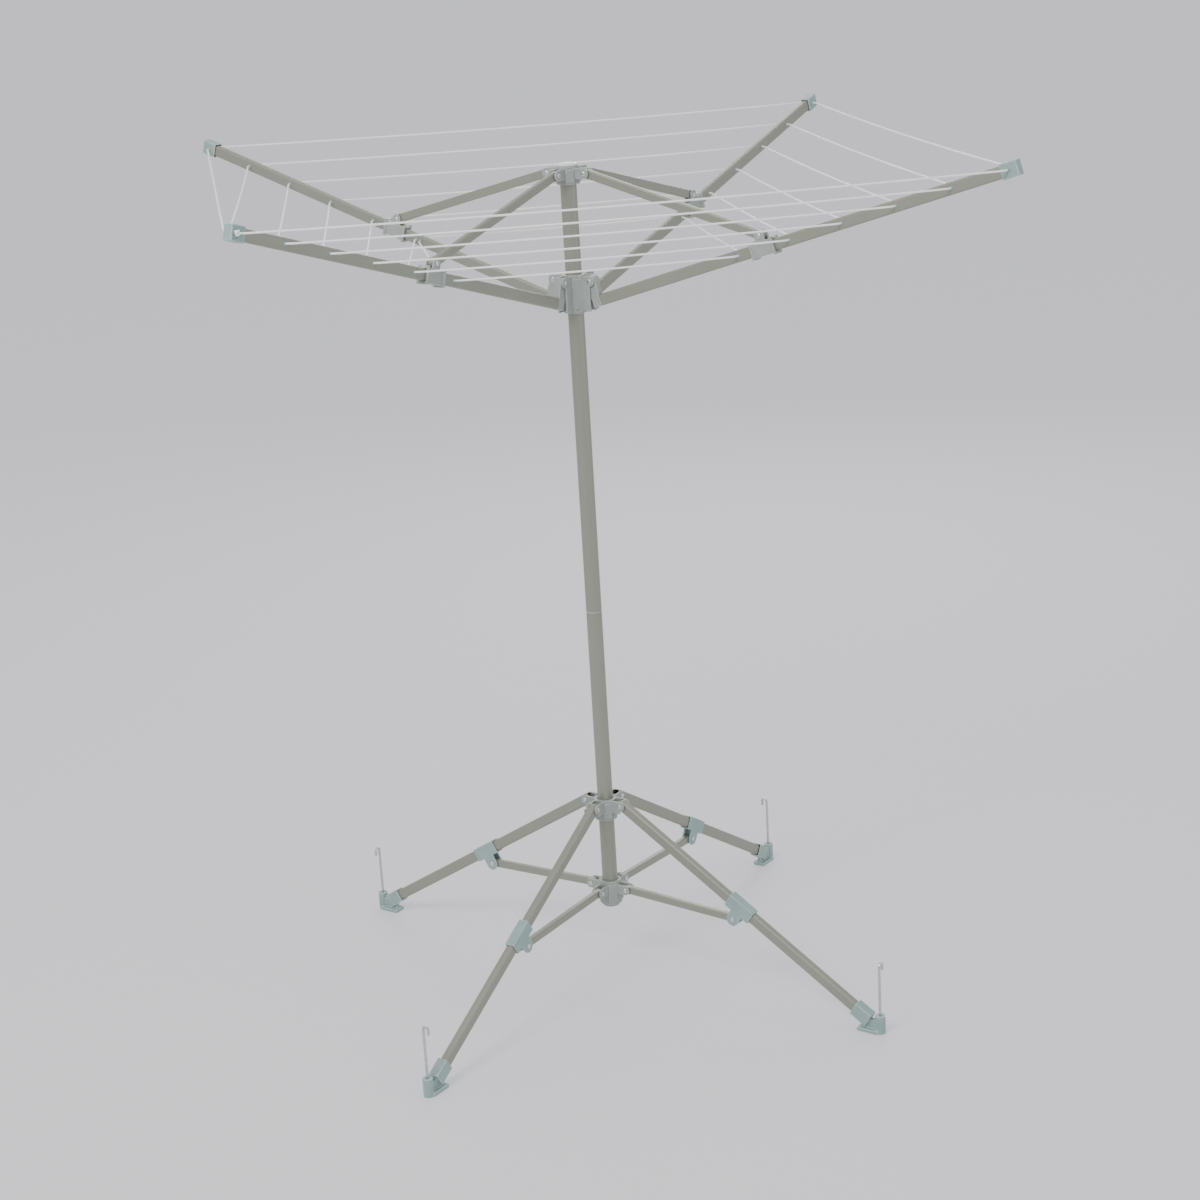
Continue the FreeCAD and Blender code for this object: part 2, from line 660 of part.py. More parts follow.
def strut(label, width, height, length):
    """Flat tube with crimped, rounded ends drilled for the pivots."""
    half = "(%s)/2" % width
    end_radius = "(%s)/2" % height
    tube_end = "%s - boss_radius" % length
    tube = flat_tube(label + "_tube", width, height, "strut_corner", "boss_radius", tube_end)
    grip = "%s - tube_wall" % half
    plug_z = ("-(%s) + strut_corner" % end_radius, "%s - strut_corner" % end_radius)
    ends = {
        "inner": ("0", ("0", "boss_radius"), ("0", "boss_radius + strut_grip")),
        "outer": (length, (tube_end, length), (tube_end + " - strut_grip", length)),
    }
    pieces, eyes = [tube], []
    for side, (x, tongue_x, plug_x) in ends.items():
        tag = "%s_%s" % (label, side)
        pieces.append(cross_rod(tag + "_nose", end_radius, x, "0", half))
        tongue_z = ("-(%s)" % end_radius, end_radius)
        pieces.append(block(tag + "_tongue", tongue_x, ("-(%s)" % half, half), tongue_z))
        pieces.append(block(tag + "_plug", plug_x, ("-(%s)" % grip, grip), plug_z))
        eyes.append(cross_rod(tag + "_eye", "pin_radius + pin_running_gap", x, "0", width))
    return cut(label, fuse(label + "_solid", pieces), *eyes)


def make_arm_strut(number, azimuth):
    label = "arm_strut_%d" % number
    arm_strut = strut(label, "arm_strut_width", "arm_strut_height", "link_length")
    keep(arm_strut, label, arm_strut_placement(azimuth))


# ---------------------------------------------------------------- legs
def make_leg(number, azimuth):
    """Leg tube, its strut bracket, its foot and its strut."""
    place = leg_placement(azimuth)
    name = "leg_tube_%d" % number
    end = "leg_length - leg_end_gap"
    tube = flat_tube(name + "_body", "leg_width", "leg_height", "leg_corner", "-boss_radius", end)
    hole = cross_rod(name + "_eye", "pin_radius + leg_pin_gap", "0", "0", "leg_width")
    nose = cross_rod(name + "_nose", "leg_height/2", "0", "0", "leg_width")
    span_y, span_z = ("-leg_width", "leg_width"), ("-leg_height", "leg_height")
    span = block(name + "_span", ("0", end + " + overlap"), span_y, span_z)
    shaped = doc.addObject("Part::Common", name + "_rounded")
    shaped.Base = tube
    shaped.Tool = fuse(name + "_end_shape", [nose, span])
    keep(cut(name, shaped, hole), name, place)
    keep(leg_bracket(number), "leg_bracket_%d" % number, place)
    keep(leg_foot(number), "leg_foot_%d" % number, in_plane(azimuth, 0, 0, 0))
    label = "leg_strut_%d" % number
    leg_strut = strut(label, "leg_strut_width", "leg_strut_height", "leg_strut_length")
    keep(leg_strut, label, leg_strut_placement(azimuth))


def leg_bracket(number):
    """Sleeve on the leg with two ears below it for the strut, and the strut's rivet."""
    name = "leg_bracket_%d" % number
    x = "leg_bracket_reach"
    start, end = x + " - leg_sleeve_length/2", x + " + leg_sleeve_length/2"
    outer, inner = sleeve(name, "leg_width", "leg_height", "sleeve_wall", start, end)
    half = "leg_width/2 + fit_gap + sleeve_wall"
    boss = "boss_radius + leg_ear_extra"
    root_x = ("%s - (%s)" % (x, boss), "%s + %s" % (x, boss))
    root = block(name + "_ear_root", root_x, ("-(%s)" % half, half), ("-leg_pivot_drop", "0"))
    nose = cross_rod(name + "_ear_nose", boss, x, "-leg_pivot_drop", half)
    slot_half = "leg_strut_width/2 + side_gap"
    slot_x = (start + " - overlap", end + " + overlap")
    slot_z = ("-leg_pivot_drop - (%s) - overlap" % boss, "-(leg_height/2 + fit_gap + sleeve_wall)")
    slot = block(name + "_slot", slot_x, ("-(%s)" % slot_half, slot_half), slot_z)
    eye = cross_rod(name + "_eye", "pin_radius", x, "-leg_pivot_drop", half + " + overlap")
    solid = fuse(name + "_solid", [outer, root, nose])
    body = cut(name + "_shell", solid, inner, slot, eye)
    return group(name, [body, rivet(name + "_pin", x, "-leg_pivot_drop", half)])


def leg_foot(number):
    """Shoe on the leg's end with a flat sole and an upright socket for the ground peg."""
    name = "leg_foot_%d" % number
    tilt = FreeCAD.Rotation(FreeCAD.Vector(0, 1, 0), size("leg_angle"))
    leg_top = FreeCAD.Vector(size("pivot_radius"), 0, size("leg_pivot_height"))
    leg_end = "leg_length - leg_end_gap"
    start, end = leg_end + " - foot_sleeve_length", leg_end + " + cap_wall"
    tilted = []
    for part in sleeve(name, "leg_width", "leg_height", "cap_wall", start, end, True):
        holder = doc.addObject("Part::Compound", part.Name + "_tilted")
        holder.Links = [part]
        holder.Placement = FreeCAD.Placement(leg_top, tilt)
        tilted.append(holder)
    outer, inner = tilted
    socket_x = "peg_socket_radius"
    sole_x = ("foot_radius - foot_sole_length", socket_x)
    sole = block(name + "_sole", sole_x, ("-foot_width/2", "foot_width/2"), ("0", "foot_sole_thickness"))
    web_x = (sole_x[0] + " + foot_web_inset", socket_x)
    web_y = ("-foot_web_thickness/2", "foot_web_thickness/2")
    web = block(name + "_web", web_x, web_y, ("0", "foot_web_height"))
    socket = rod(name + "_socket", "foot_socket_radius", (socket_x, 0, "0"), "foot_socket_height", "z")
    bore_start = (socket_x, 0, "-overlap")
    bore = rod(name + "_bore", "peg_radius + slide_gap", bore_start, "foot_socket_height + 2*overlap", "z")
    below_x = ("foot_radius - 2*foot_sleeve_length", socket_x + " + foot_sleeve_length")
    below = block(name + "_below", below_x, ("-foot_width", "foot_width"), ("-foot_sleeve_length", "0"))
    return cut(name, fuse(name + "_solid", [outer, sole, web, socket]), inner, bore, below)


def make_peg(number, azimuth):
    """Wire ground peg with a T-shaped head, its point at the ground."""
    name = "ground_peg_%d" % number
    x = "peg_socket_radius"
    point_top = "peg_ground_gap + peg_point_length"
    shank = rod(name + "_shank", "peg_radius", (x, 0, point_top), "peg_length - (%s)" % point_top, "z")
    point = doc.addObject("Part::Cone", name + "_point")
    point.setExpression("Radius1", bound("peg_point_radius"))
    point.setExpression("Radius2", bound("peg_radius"))
    point.setExpression("Height", bound("peg_point_length"))
    point.setExpression("Placement.Base.x", bound(x))
    point.setExpression("Placement.Base.z", bound("peg_ground_gap"))
    head = cross_rod(name + "_head", "peg_radius", x, "peg_length", "peg_hook_width/2")
    keep(fuse(name, [shank, point, head]), name, in_plane(azimuth, 0, 0, 0))


# ---------------------------------------------------------------- drying line
LINE_VOLUME_ERROR = 0.01
KNOT_SHARE = 0.75


def hole_point(number, radius, side):
    """Point on the line just outside hole of this arm, on its clockwise (-1) or anticlockwise (+1) side."""
    in_cap = along_arm(radius) > size("arm_length") - size("cap_length")
    wall = size("cap_wall") if in_cap else 0.0
    corner = size("line_bend_radius") * math.tan(math.pi / 8) + size("line_bend_gap")
    offset = size("arm_width") / 2 + wall + corner
    azimuth = math.radians(AZIMUTHS[number - 1])
    out = FreeCAD.Vector(math.cos(azimuth), math.sin(azimuth), 0)
    across = FreeCAD.Vector(-math.sin(azimuth), math.cos(azimuth), 0)
    return out * radius + across * (side * offset) + FreeCAD.Vector(0, 0, axis_height(radius))


def line_runs():
    """Every straight run between two arms: the arm and hole radius at each of its ends."""
    holes = [line_radius_at(hole) for hole in range(LINE_COUNT)]
    runs = []
    for low, high in ((1, 2), (3, 4), (4, 1)):
        runs += [((low, radius), (high, radius)) for radius in holes]
    tie_out = holes[0] + size("line_tie_offset")
    tie_in = holes[-1] - size("line_tie_offset")
    runs.append(((2, holes[0]), (3, tie_out)))
    runs += [((2, inner), (3, outer)) for outer, inner in zip(holes, holes[1:])]
    runs.append(((2, tie_in), (3, holes[-1])))
    return runs


def swept_line(points):
    """Round line along points, each corner a tangent arc."""
    edges = []
    start = points[0]
    for before, corner, after in zip(points, points[1:], points[2:]):
        into = (corner - before).normalize()
        away = (after - corner).normalize()
        turn = into.getAngle(away)
        reach = size("line_bend_radius") * math.tan(turn / 2)
        first, last = corner - into * reach, corner + away * reach
        bisector = (away - into).normalize()
        depth = size("line_bend_radius") * (1 / math.cos(turn / 2) - 1)
        edges.append(Part.LineSegment(start, first).toShape())
        edges.append(Part.Arc(first, corner + bisector * depth, last).toShape())
        start = last
    edges.append(Part.LineSegment(start, points[-1]).toShape())
    wire = Part.Wire(edges)
    tangent = (points[1] - points[0]).normalize()
    profile = Part.Wire([Part.Circle(points[0], tangent, size("line_radius")).toShape()])
    solid = wire.makePipeShell([profile], True, False)
    expected = math.pi * size("line_radius") ** 2 * wire.Length
    if abs(solid.Volume / expected - 1) > LINE_VOLUME_ERROR:
        raise RuntimeError("line solid has the wrong volume")
    return solid, wire.Length


def make_lines():
    """The line is one cord. Each arm holds the stretches that pass through it, to the middle of each run."""
    ends = {}
    for (arm_a, radius_a), (arm_b, radius_b) in line_runs():
        point_a, point_b = hole_point(arm_a, radius_a, 1), hole_point(arm_b, radius_b, -1)
        middle = (point_a + point_b) * 0.5
        ends.setdefault((arm_a, round(radius_a, 3)), {})[1] = (point_a, middle)
        ends.setdefault((arm_b, round(radius_b, 3)), {})[-1] = (point_b, middle)
    total = 0.0
    for number in range(1, ARM_COUNT + 1):
        solids = []
        for (arm, radius), sides in sorted(ends.items()):
            if arm != number:
                continue
            if len(sides) == 2:
                path = [sides[-1][1], sides[-1][0], sides[1][0], sides[1][1]]
            else:
                side = 1 if 1 in sides else -1
                knot = hole_point(arm, radius, -side) * (1 - KNOT_SHARE) + sides[side][0] * KNOT_SHARE
                path = [sides[side][1], sides[side][0], knot]
            solid, length = swept_line(path)
            total += length
            solids.append(solid)
        feature = doc.addObject("Part::Feature", "drying_line_%d" % number)
        feature.Shape = Part.Compound(solids)
        keep(feature, "drying_line_%d" % number, FreeCAD.Placement())
    print("drying line length %.0f mm" % total)


# ---------------------------------------------------------------- build and write
make_mast()
make_hubs()
make_knobs()
for index, angle in enumerate(AZIMUTHS, start=1):
    make_arm(index, angle)
    make_arm_strut(index, angle)
    make_leg(index, angle)
    make_peg(index, angle)
make_lines()
doc.recompute()

faults = [item.Name for item in doc.Objects if "Invalid" in item.State or "Error" in item.State]
faults += [item.Label for item in subparts if item.Shape.isNull() or not item.Shape.isValid()]
if faults:
    raise RuntimeError("failed objects: " + ", ".join(faults))

os.makedirs("parts", exist_ok=True)
for item in subparts:
    item.Shape.exportStep(os.path.join("parts", item.Label + ".step"))
print("%d nodes, %d solids" % (len(subparts), sum(len(item.Shape.Solids) for item in subparts)))
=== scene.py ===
import bpy
import bmesh
import json
import math
from mathutils import Matrix, Vector

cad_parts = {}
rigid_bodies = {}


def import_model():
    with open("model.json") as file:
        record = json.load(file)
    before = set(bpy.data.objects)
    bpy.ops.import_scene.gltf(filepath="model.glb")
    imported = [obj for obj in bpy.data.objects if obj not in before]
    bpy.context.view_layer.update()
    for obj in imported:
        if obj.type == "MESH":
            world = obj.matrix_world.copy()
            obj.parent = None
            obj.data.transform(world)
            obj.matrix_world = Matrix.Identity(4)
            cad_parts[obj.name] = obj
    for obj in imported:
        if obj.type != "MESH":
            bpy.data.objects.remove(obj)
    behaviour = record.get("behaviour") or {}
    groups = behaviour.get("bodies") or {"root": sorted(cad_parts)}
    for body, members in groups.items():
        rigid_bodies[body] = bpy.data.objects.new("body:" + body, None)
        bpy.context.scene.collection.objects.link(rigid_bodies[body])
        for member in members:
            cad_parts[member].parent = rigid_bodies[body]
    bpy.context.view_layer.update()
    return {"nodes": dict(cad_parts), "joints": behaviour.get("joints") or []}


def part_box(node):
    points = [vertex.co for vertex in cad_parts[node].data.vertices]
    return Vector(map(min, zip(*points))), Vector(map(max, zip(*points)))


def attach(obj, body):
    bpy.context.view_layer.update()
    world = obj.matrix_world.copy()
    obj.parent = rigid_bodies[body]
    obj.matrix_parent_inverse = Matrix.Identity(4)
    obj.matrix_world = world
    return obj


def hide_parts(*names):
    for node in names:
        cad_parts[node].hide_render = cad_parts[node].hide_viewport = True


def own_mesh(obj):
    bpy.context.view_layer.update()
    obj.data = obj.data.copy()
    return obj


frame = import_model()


# ---------------------------------------------------------------- ground and studio
# A pale plain ground, large enough that no edge shows and glowing a little so that it fades into
# the sky, under a soft overhead key light with a fill from the other side and a low light behind
# that draws the edges of the thin tubes.
GROUND_REACH = 300.0
GROUND_COLOUR = (0.42, 0.415, 0.43, 1.0)
GROUND_GLOW = (0.95, 0.95, 1.0, 1.0)
GLOW_STRENGTH = 0.44
SKY_COLOUR = (0.95, 0.96, 1.0, 1.0)
SKY_STRENGTH = 0.88
CAMERA_PLACE = (-0.652, -4.027, 1.98)
CAMERA_AIM = (0.012, 0.0, 0.715)
CAMERA_LEAN = math.radians(-3.4)
CAMERA_LENS = 72.0
CAMERA_SENSOR = 36.0

ground_mesh = bmesh.new()
bmesh.ops.create_grid(ground_mesh, x_segments=1, y_segments=1, size=GROUND_REACH)
ground_data = bpy.data.meshes.new("ground")
ground_mesh.to_mesh(ground_data)
ground_mesh.free()
ground = bpy.data.objects.new("ground", ground_data)
bpy.context.scene.collection.objects.link(ground)
ground_material = bpy.data.materials.new("ground_matt")
ground_material.use_nodes = True
ground_shader = ground_material.node_tree.nodes["Principled BSDF"]
ground_shader.inputs["Base Color"].default_value = GROUND_COLOUR
ground_shader.inputs["Roughness"].default_value = 0.9
ground_shader.inputs["Emission Color"].default_value = GROUND_GLOW
ground_shader.inputs["Emission Strength"].default_value = GLOW_STRENGTH
ground_data.materials.append(ground_material)

world = bpy.data.worlds.new("studio")
world.use_nodes = True
world.node_tree.nodes["Background"].inputs["Color"].default_value = SKY_COLOUR
world.node_tree.nodes["Background"].inputs["Strength"].default_value = SKY_STRENGTH
bpy.context.scene.world = world


def soft_light(name, place, aim, width, power, colour):
    """Square area light at place, pointing at aim."""
    data = bpy.data.lights.new(name, "AREA")
    data.size = width
    data.energy = power
    data.color = colour
    lamp = bpy.data.objects.new(name, data)
    lamp.location = place
    lamp.rotation_euler = (Vector(aim) - Vector(place)).to_track_quat("-Z", "Y").to_euler()
    bpy.context.scene.collection.objects.link(lamp)


soft_light("key", (-2.6, -2.4, 4.2), (0, 0, 0.9), 1.6, 150, (1.0, 0.985, 0.96))
soft_light("fill", (3.6, -2.2, 2.0), (0, 0, 0.8), 3.0, 30, (0.93, 0.96, 1.0))
soft_light("back", (1.2, 3.4, 2.6), (0, 0, 1.0), 2.0, 50, (1.0, 1.0, 1.0))

camera_data = bpy.data.cameras.new("camera")
camera_data.lens = CAMERA_LENS
camera_data.sensor_width = CAMERA_SENSOR
camera = bpy.data.objects.new("camera", camera_data)
look = (Vector(CAMERA_AIM) - Vector(CAMERA_PLACE)).to_track_quat("-Z", "Y").to_matrix().to_4x4()
camera.matrix_world = Matrix.Translation(CAMERA_PLACE) @ look @ Matrix.Rotation(CAMERA_LEAN, 4, "Z")
bpy.context.scene.collection.objects.link(camera)
bpy.context.scene.camera = camera


# ---------------------------------------------------------------- mast tubes
# Two lengths of drawn aluminium tube, powder coated olive grey in a fine satin. The lower one is
# fixed in the foot of the stand and the upper one turns on it; their cut ends are lightly rounded.
COAT_COLOUR = (0.295, 0.300, 0.250, 1.0)
COAT_SHADE = (0.250, 0.257, 0.210, 1.0)
# paler colour for scuffs, and for rounded edges, where it is partly wear and partly a painted highlight
COAT_WEAR_AND_HIGHLIGHT = (0.42, 0.425, 0.39, 1.0)
MAST_WALL = 0.0012
MAST_LIP = 0.0003
MAST_STEPS = 64
SMOOTH_UP_TO = math.radians(35)
DOUBLES_WITHIN = 1e-6


def node_maker(material):
    """A short way to add nodes and join them in one material."""
    tree = material.node_tree

    def add(kind, **settings):
        node = tree.nodes.new(kind)
        for name, value in settings.items():
            setattr(node, name, value)
        return node

    return add, tree.links.new, tree.nodes["Principled BSDF"]


def noise(add, scale, detail, roughness=0.5):
    """Noise texture node of this fineness, in cycles per metre."""
    texture = add("ShaderNodeTexNoise")
    texture.inputs["Scale"].default_value = scale
    texture.inputs["Detail"].default_value = detail
    texture.inputs["Roughness"].default_value = roughness
    return texture


def ramp(add, join, value, low, high, to_low, to_high):
    """Map a value from one range to another."""
    mapped = add("ShaderNodeMapRange")
    for socket, number in zip(("From Min", "From Max", "To Min", "To Max"), (low, high, to_low, to_high)):
        mapped.inputs[socket].default_value = number
    join(value, mapped.inputs["Value"])
    return mapped.outputs["Result"]


def blend_colours(add, join, share, first, second):
    """Mix two colours, each a plain value or another node's output, by a share."""
    mix = add("ShaderNodeMix", data_type="RGBA")
    for socket, colour in (("A", first), ("B", second)):
        if isinstance(colour, tuple):
            mix.inputs[socket].default_value = colour
        else:
            join(colour, mix.inputs[socket])
    join(share, mix.inputs["Factor"])
    return mix.outputs["Result"]


def bump(add, join, height, depth, strength, under=None):
    """Bump from a height, on top of another bump's normal."""
    node = add("ShaderNodeBump")
    node.inputs["Strength"].default_value = strength
    node.inputs["Distance"].default_value = depth
    join(height, node.inputs["Height"])
    if under is not None:
        join(under, node.inputs["Normal"])
    return node.outputs["Normal"]


def coated_tube(name):
    """Satin powder coat over drawn tube: faint lengthwise die lines under a fine orange peel, with its
    rounded edges painted paler, partly as wear and partly as a painted highlight.

    It reads the piece's own "grain" attribute, whose X runs along the tube."""
    material = bpy.data.materials.new(name)
    material.use_nodes = True
    add, join, shader = node_maker(material)
    grain = add("ShaderNodeAttribute", attribute_name="grain").outputs["Vector"]
    stretch = add("ShaderNodeMapping")
    stretch.inputs["Scale"].default_value = (1.2, 160.0, 160.0)
    join(grain, stretch.inputs["Vector"])
    die_lines = noise(add, 1.0, 3.0)
    join(stretch.outputs["Vector"], die_lines.inputs["Vector"])
    peel, mottle, scuff = noise(add, 900.0, 2.0), noise(add, 9.0, 5.0), noise(add, 60.0, 8.0, 0.72)
    for texture in (peel, mottle, scuff):
        join(grain, texture.inputs["Vector"])
    tone = blend_colours(add, join, mottle.outputs["Fac"], COAT_SHADE, COAT_COLOUR)
    worn_where = ramp(add, join, scuff.outputs["Fac"], 0.66, 0.74, 0.0, 0.35)
    paler_tone = blend_colours(add, join, worn_where, tone, COAT_WEAR_AND_HIGHLIGHT)
    # rounded edges painted paler: partly wear, partly a painted highlight
    rim = add("ShaderNodeAttribute", attribute_name="rim").outputs["Fac"]
    edge_wear_and_highlight_share = ramp(add, join, rim, 0.0, 1.0, 0.0, 0.55)
    join(blend_colours(add, join, edge_wear_and_highlight_share, paler_tone, COAT_WEAR_AND_HIGHLIGHT), shader.inputs["Base Color"])
    join(ramp(add, join, mottle.outputs["Fac"], 0.0, 1.0, 0.36, 0.50), shader.inputs["Roughness"])
    drawn = bump(add, join, die_lines.outputs["Fac"], 0.0004, 0.22)
    join(bump(add, join, peel.outputs["Fac"], 0.0002, 0.12, drawn), shader.inputs["Normal"])
    shader.inputs["Metallic"].default_value = 0.45
    return material


def lathe(points, steps, closed=True, bm=None):
    """Solid turned about Z from an outline of (radius, height) points.

    A closed outline makes a ring; an open one starts and ends on the axis."""
    bm = bm or bmesh.new()
    verts = [bm.verts.new((radius, 0.0, height)) for radius, height in points]
    pairs = list(zip(verts, verts[1:]))
    if closed:
        pairs.append((verts[-1], verts[0]))
    edges = [bm.edges.new(pair) for pair in pairs]
    bmesh.ops.spin(bm, geom=verts + edges, cent=(0, 0, 0), axis=(0, 0, 1), dvec=(0, 0, 0), angle=math.tau,
                   steps=steps, use_merge=True, use_normal_flip=False, use_duplicate=False)
    return bm


def finish_piece(bm, name, body, material, nodes=(), own_axes=Matrix()):
    """Make the mesh a piece: closed, faces outward, smooth but for its edges, on its body.

    Each point keeps its place in the piece's own axes, for patterns that follow the piece."""
    bmesh.ops.remove_doubles(bm, verts=bm.verts, dist=DOUBLES_WITHIN)
    bmesh.ops.recalc_face_normals(bm, faces=bm.faces)
    grain = bm.verts.layers.float_vector.new("grain")
    to_own = own_axes.inverted()
    for vert in bm.verts:
        vert[grain] = to_own @ vert.co
    data = bpy.data.meshes.new(name)
    bm.to_mesh(data)
    bm.free()
    data.shade_smooth()
    data.set_sharp_from_angle(angle=SMOOTH_UP_TO)
    data.materials.append(material)
    piece = bpy.data.objects.new(name, data)
    bpy.context.scene.collection.objects.link(piece)
    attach(piece, body)
    if nodes:
        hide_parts(*nodes)
    return piece


def tube_outline(outer, wall, bottom, top, lip):
    """Closed outline of a round tube's wall, its four corners cut by the lip."""
    inner = outer - wall
    return [
        (outer - lip, bottom), (outer, bottom + lip), (outer, top - lip), (outer - lip, top),
        (inner + lip, top), (inner, top - lip), (inner, bottom + lip), (inner + lip, bottom),
    ]


# the coat's grain runs along X, so the mast's own axes stand on end
STOOD_UP = Matrix.Rotation(math.radians(-90), 4, "Y")
coat = coated_tube("olive_grey_coat")
for node, body in (("lower_mast_tube", "base"), ("upper_mast_tube", "head")):
    low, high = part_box(node)
    outline = tube_outline(high.x, MAST_WALL, low.z, high.z, MAST_LIP)
    finish_piece(lathe(outline, MAST_STEPS), node + "_piece", body, coat, [node], STOOD_UP)


# ---------------------------------------------------------------- spigot
# A bright zinc-plated steel tube fixed in the lower mast. The upper mast drops over it and turns on
# it, and it comes into sight only as the mast is pulled apart.
ZINC = (0.62, 0.63, 0.64, 1.0)
ZINC_DULL = (0.47, 0.48, 0.50, 1.0)
SPIGOT_WALL = 0.0015
SPIGOT_LIP = 0.0005


def zinc_steel(name, bright, dull, fineness, metallic=1.0):
    """Plated steel: clouded spangle, light scratches and a soft uneven shine."""
    material = bpy.data.materials.new(name)
    material.use_nodes = True
    add, join, shader = node_maker(material)
    place = add("ShaderNodeTexCoord").outputs["Object"]
    spangle = add("ShaderNodeTexVoronoi")
    spangle.inputs["Scale"].default_value = fineness
    cloud, scratch = noise(add, fineness * 0.4, 6.0), noise(add, fineness * 3.0, 9.0, 0.8)
    for texture in (spangle, cloud, scratch):
        join(place, texture.inputs["Vector"])
    dullness = ramp(add, join, cloud.outputs["Fac"], 0.35, 0.7, 0.0, 1.0)
    join(blend_colours(add, join, dullness, bright, dull), shader.inputs["Base Color"])
    join(ramp(add, join, spangle.outputs["Distance"], 0.0, 1.0, 0.24, 0.44), shader.inputs["Roughness"])
    join(bump(add, join, scratch.outputs["Fac"], 0.0001, 0.2), shader.inputs["Normal"])
    shader.inputs["Metallic"].default_value = metallic
    return material


zinc = zinc_steel("zinc_plate", ZINC, ZINC_DULL, 350.0)
low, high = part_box("spigot_tube")
outline = tube_outline(high.x, SPIGOT_WALL, low.z, high.z, SPIGOT_LIP)
finish_piece(lathe(outline, MAST_STEPS), "spigot_tube_piece", "base", zinc, ["spigot_tube"])


# ---------------------------------------------------------------- bearing ring and foot plug
# A turned washer of grey acetal between the two mast tubes carries the turning head. The plug that
# closes the foot of the mast is moulded in the same grey and pressed in, with a rounded flange.
BUSH_COLOUR = (0.36, 0.375, 0.345, 1.0)
BUSH_SHADE = (0.31, 0.325, 0.295, 1.0)
# colour of the rounded edges: partly wear, partly a painted highlight
BUSH_EDGE_WEAR_AND_HIGHLIGHT = (0.50, 0.51, 0.48, 1.0)
RING_LIP = 0.0005
PLUG_FLANGE = 0.005
PLUG_LIP = 0.0012
CORNER_SHARE = 0.3


def moulded_plastic(name, colour, shade, paler_tone, roughness=0.46):
    """Injection-moulded plastic: spark-eroded fine texture, slow flow clouding, and paler edges that are
    partly wear and partly a painted highlight.

    The piece's "rim" attribute is one on its rounded edges."""
    material = bpy.data.materials.new(name)
    material.use_nodes = True
    add, join, shader = node_maker(material)
    place = add("ShaderNodeTexCoord").outputs["Object"]
    flow, texture, dust = noise(add, 28.0, 4.0), noise(add, 2200.0, 2.0), noise(add, 240.0, 7.0, 0.7)
    for pattern in (flow, texture, dust):
        join(place, pattern.inputs["Vector"])
    clouding = ramp(add, join, flow.outputs["Fac"], 0.3, 0.7, 0.0, 1.0)
    body_colour = blend_colours(add, join, clouding, shade, colour)
    dusty = ramp(add, join, dust.outputs["Fac"], 0.58, 0.80, 0.0, 0.30)
    dusted = blend_colours(add, join, dusty, body_colour, shade)
    # rounded edges painted paler in patches: partly wear, partly a painted highlight
    rim = add("ShaderNodeAttribute", attribute_name="rim").outputs["Fac"]
    patchy = ramp(add, join, dust.outputs["Fac"], 0.40, 0.60, 0.25, 0.75)
    edge_wear_and_highlight_share = add("ShaderNodeMath", operation="MULTIPLY")
    join(rim, edge_wear_and_highlight_share.inputs[0])
    join(patchy, edge_wear_and_highlight_share.inputs[1])
    edged = blend_colours(add, join, edge_wear_and_highlight_share.outputs["Value"], dusted, paler_tone)
    join(edged, shader.inputs["Base Color"])
    join(ramp(add, join, dust.outputs["Fac"], 0.3, 0.7, roughness - 0.08, roughness + 0.08),
         shader.inputs["Roughness"])
    join(bump(add, join, texture.outputs["Fac"], 0.00012, 0.25), shader.inputs["Normal"])
    return material


bush = moulded_plastic("bush_grey", BUSH_COLOUR, BUSH_SHADE, BUSH_EDGE_WEAR_AND_HIGHLIGHT, 0.4)
low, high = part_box("mast_bearing_ring")
outline = tube_outline(high.x, MAST_WALL, low.z, high.z, RING_LIP)
finish_piece(lathe(outline, MAST_STEPS), "bearing_ring_piece", "mast_ring", bush,
             ["mast_bearing_ring"])

low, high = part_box("mast_end_plug")
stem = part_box("lower_mast_tube")[1].x - MAST_WALL
shoulder = low.z + PLUG_FLANGE
outline = [
    (0.0, low.z), (high.x - PLUG_LIP, low.z),
    (high.x - PLUG_LIP * CORNER_SHARE, low.z + PLUG_LIP * CORNER_SHARE),
    (high.x, low.z + PLUG_LIP), (high.x, shoulder - PLUG_LIP), (high.x - PLUG_LIP, shoulder),
    (stem, shoulder), (stem, high.z - PLUG_LIP), (stem - PLUG_LIP, high.z), (0.0, high.z),
]
finish_piece(lathe(outline, MAST_STEPS, closed=False), "foot_plug_piece", "base", bush,
             ["mast_end_plug"])


# ---------------------------------------------------------------- mast cap
# The white moulded cap pressed into the top of the mast: a shallow crowned disc with a rounded rim
# and a small moulding mark ring, on a stem that grips the tube.
CAP_COLOUR = (0.74, 0.75, 0.73, 1.0)
CAP_SHADE = (0.66, 0.67, 0.65, 1.0)
# colour of the rounded edges: partly wear, partly a painted highlight
CAP_EDGE_WEAR_AND_HIGHLIGHT = (0.80, 0.80, 0.79, 1.0)
CAP_THICKNESS = 0.006
CAP_ROUND = 0.0018
CAP_BROW = 0.00036
CAP_UNDER_ROUND = 0.0009
CAP_CROWN = 0.0022
CROWN_STEPS = 8
MARK_RADIUS = 0.0072
MARK_DEPTH = 0.0005

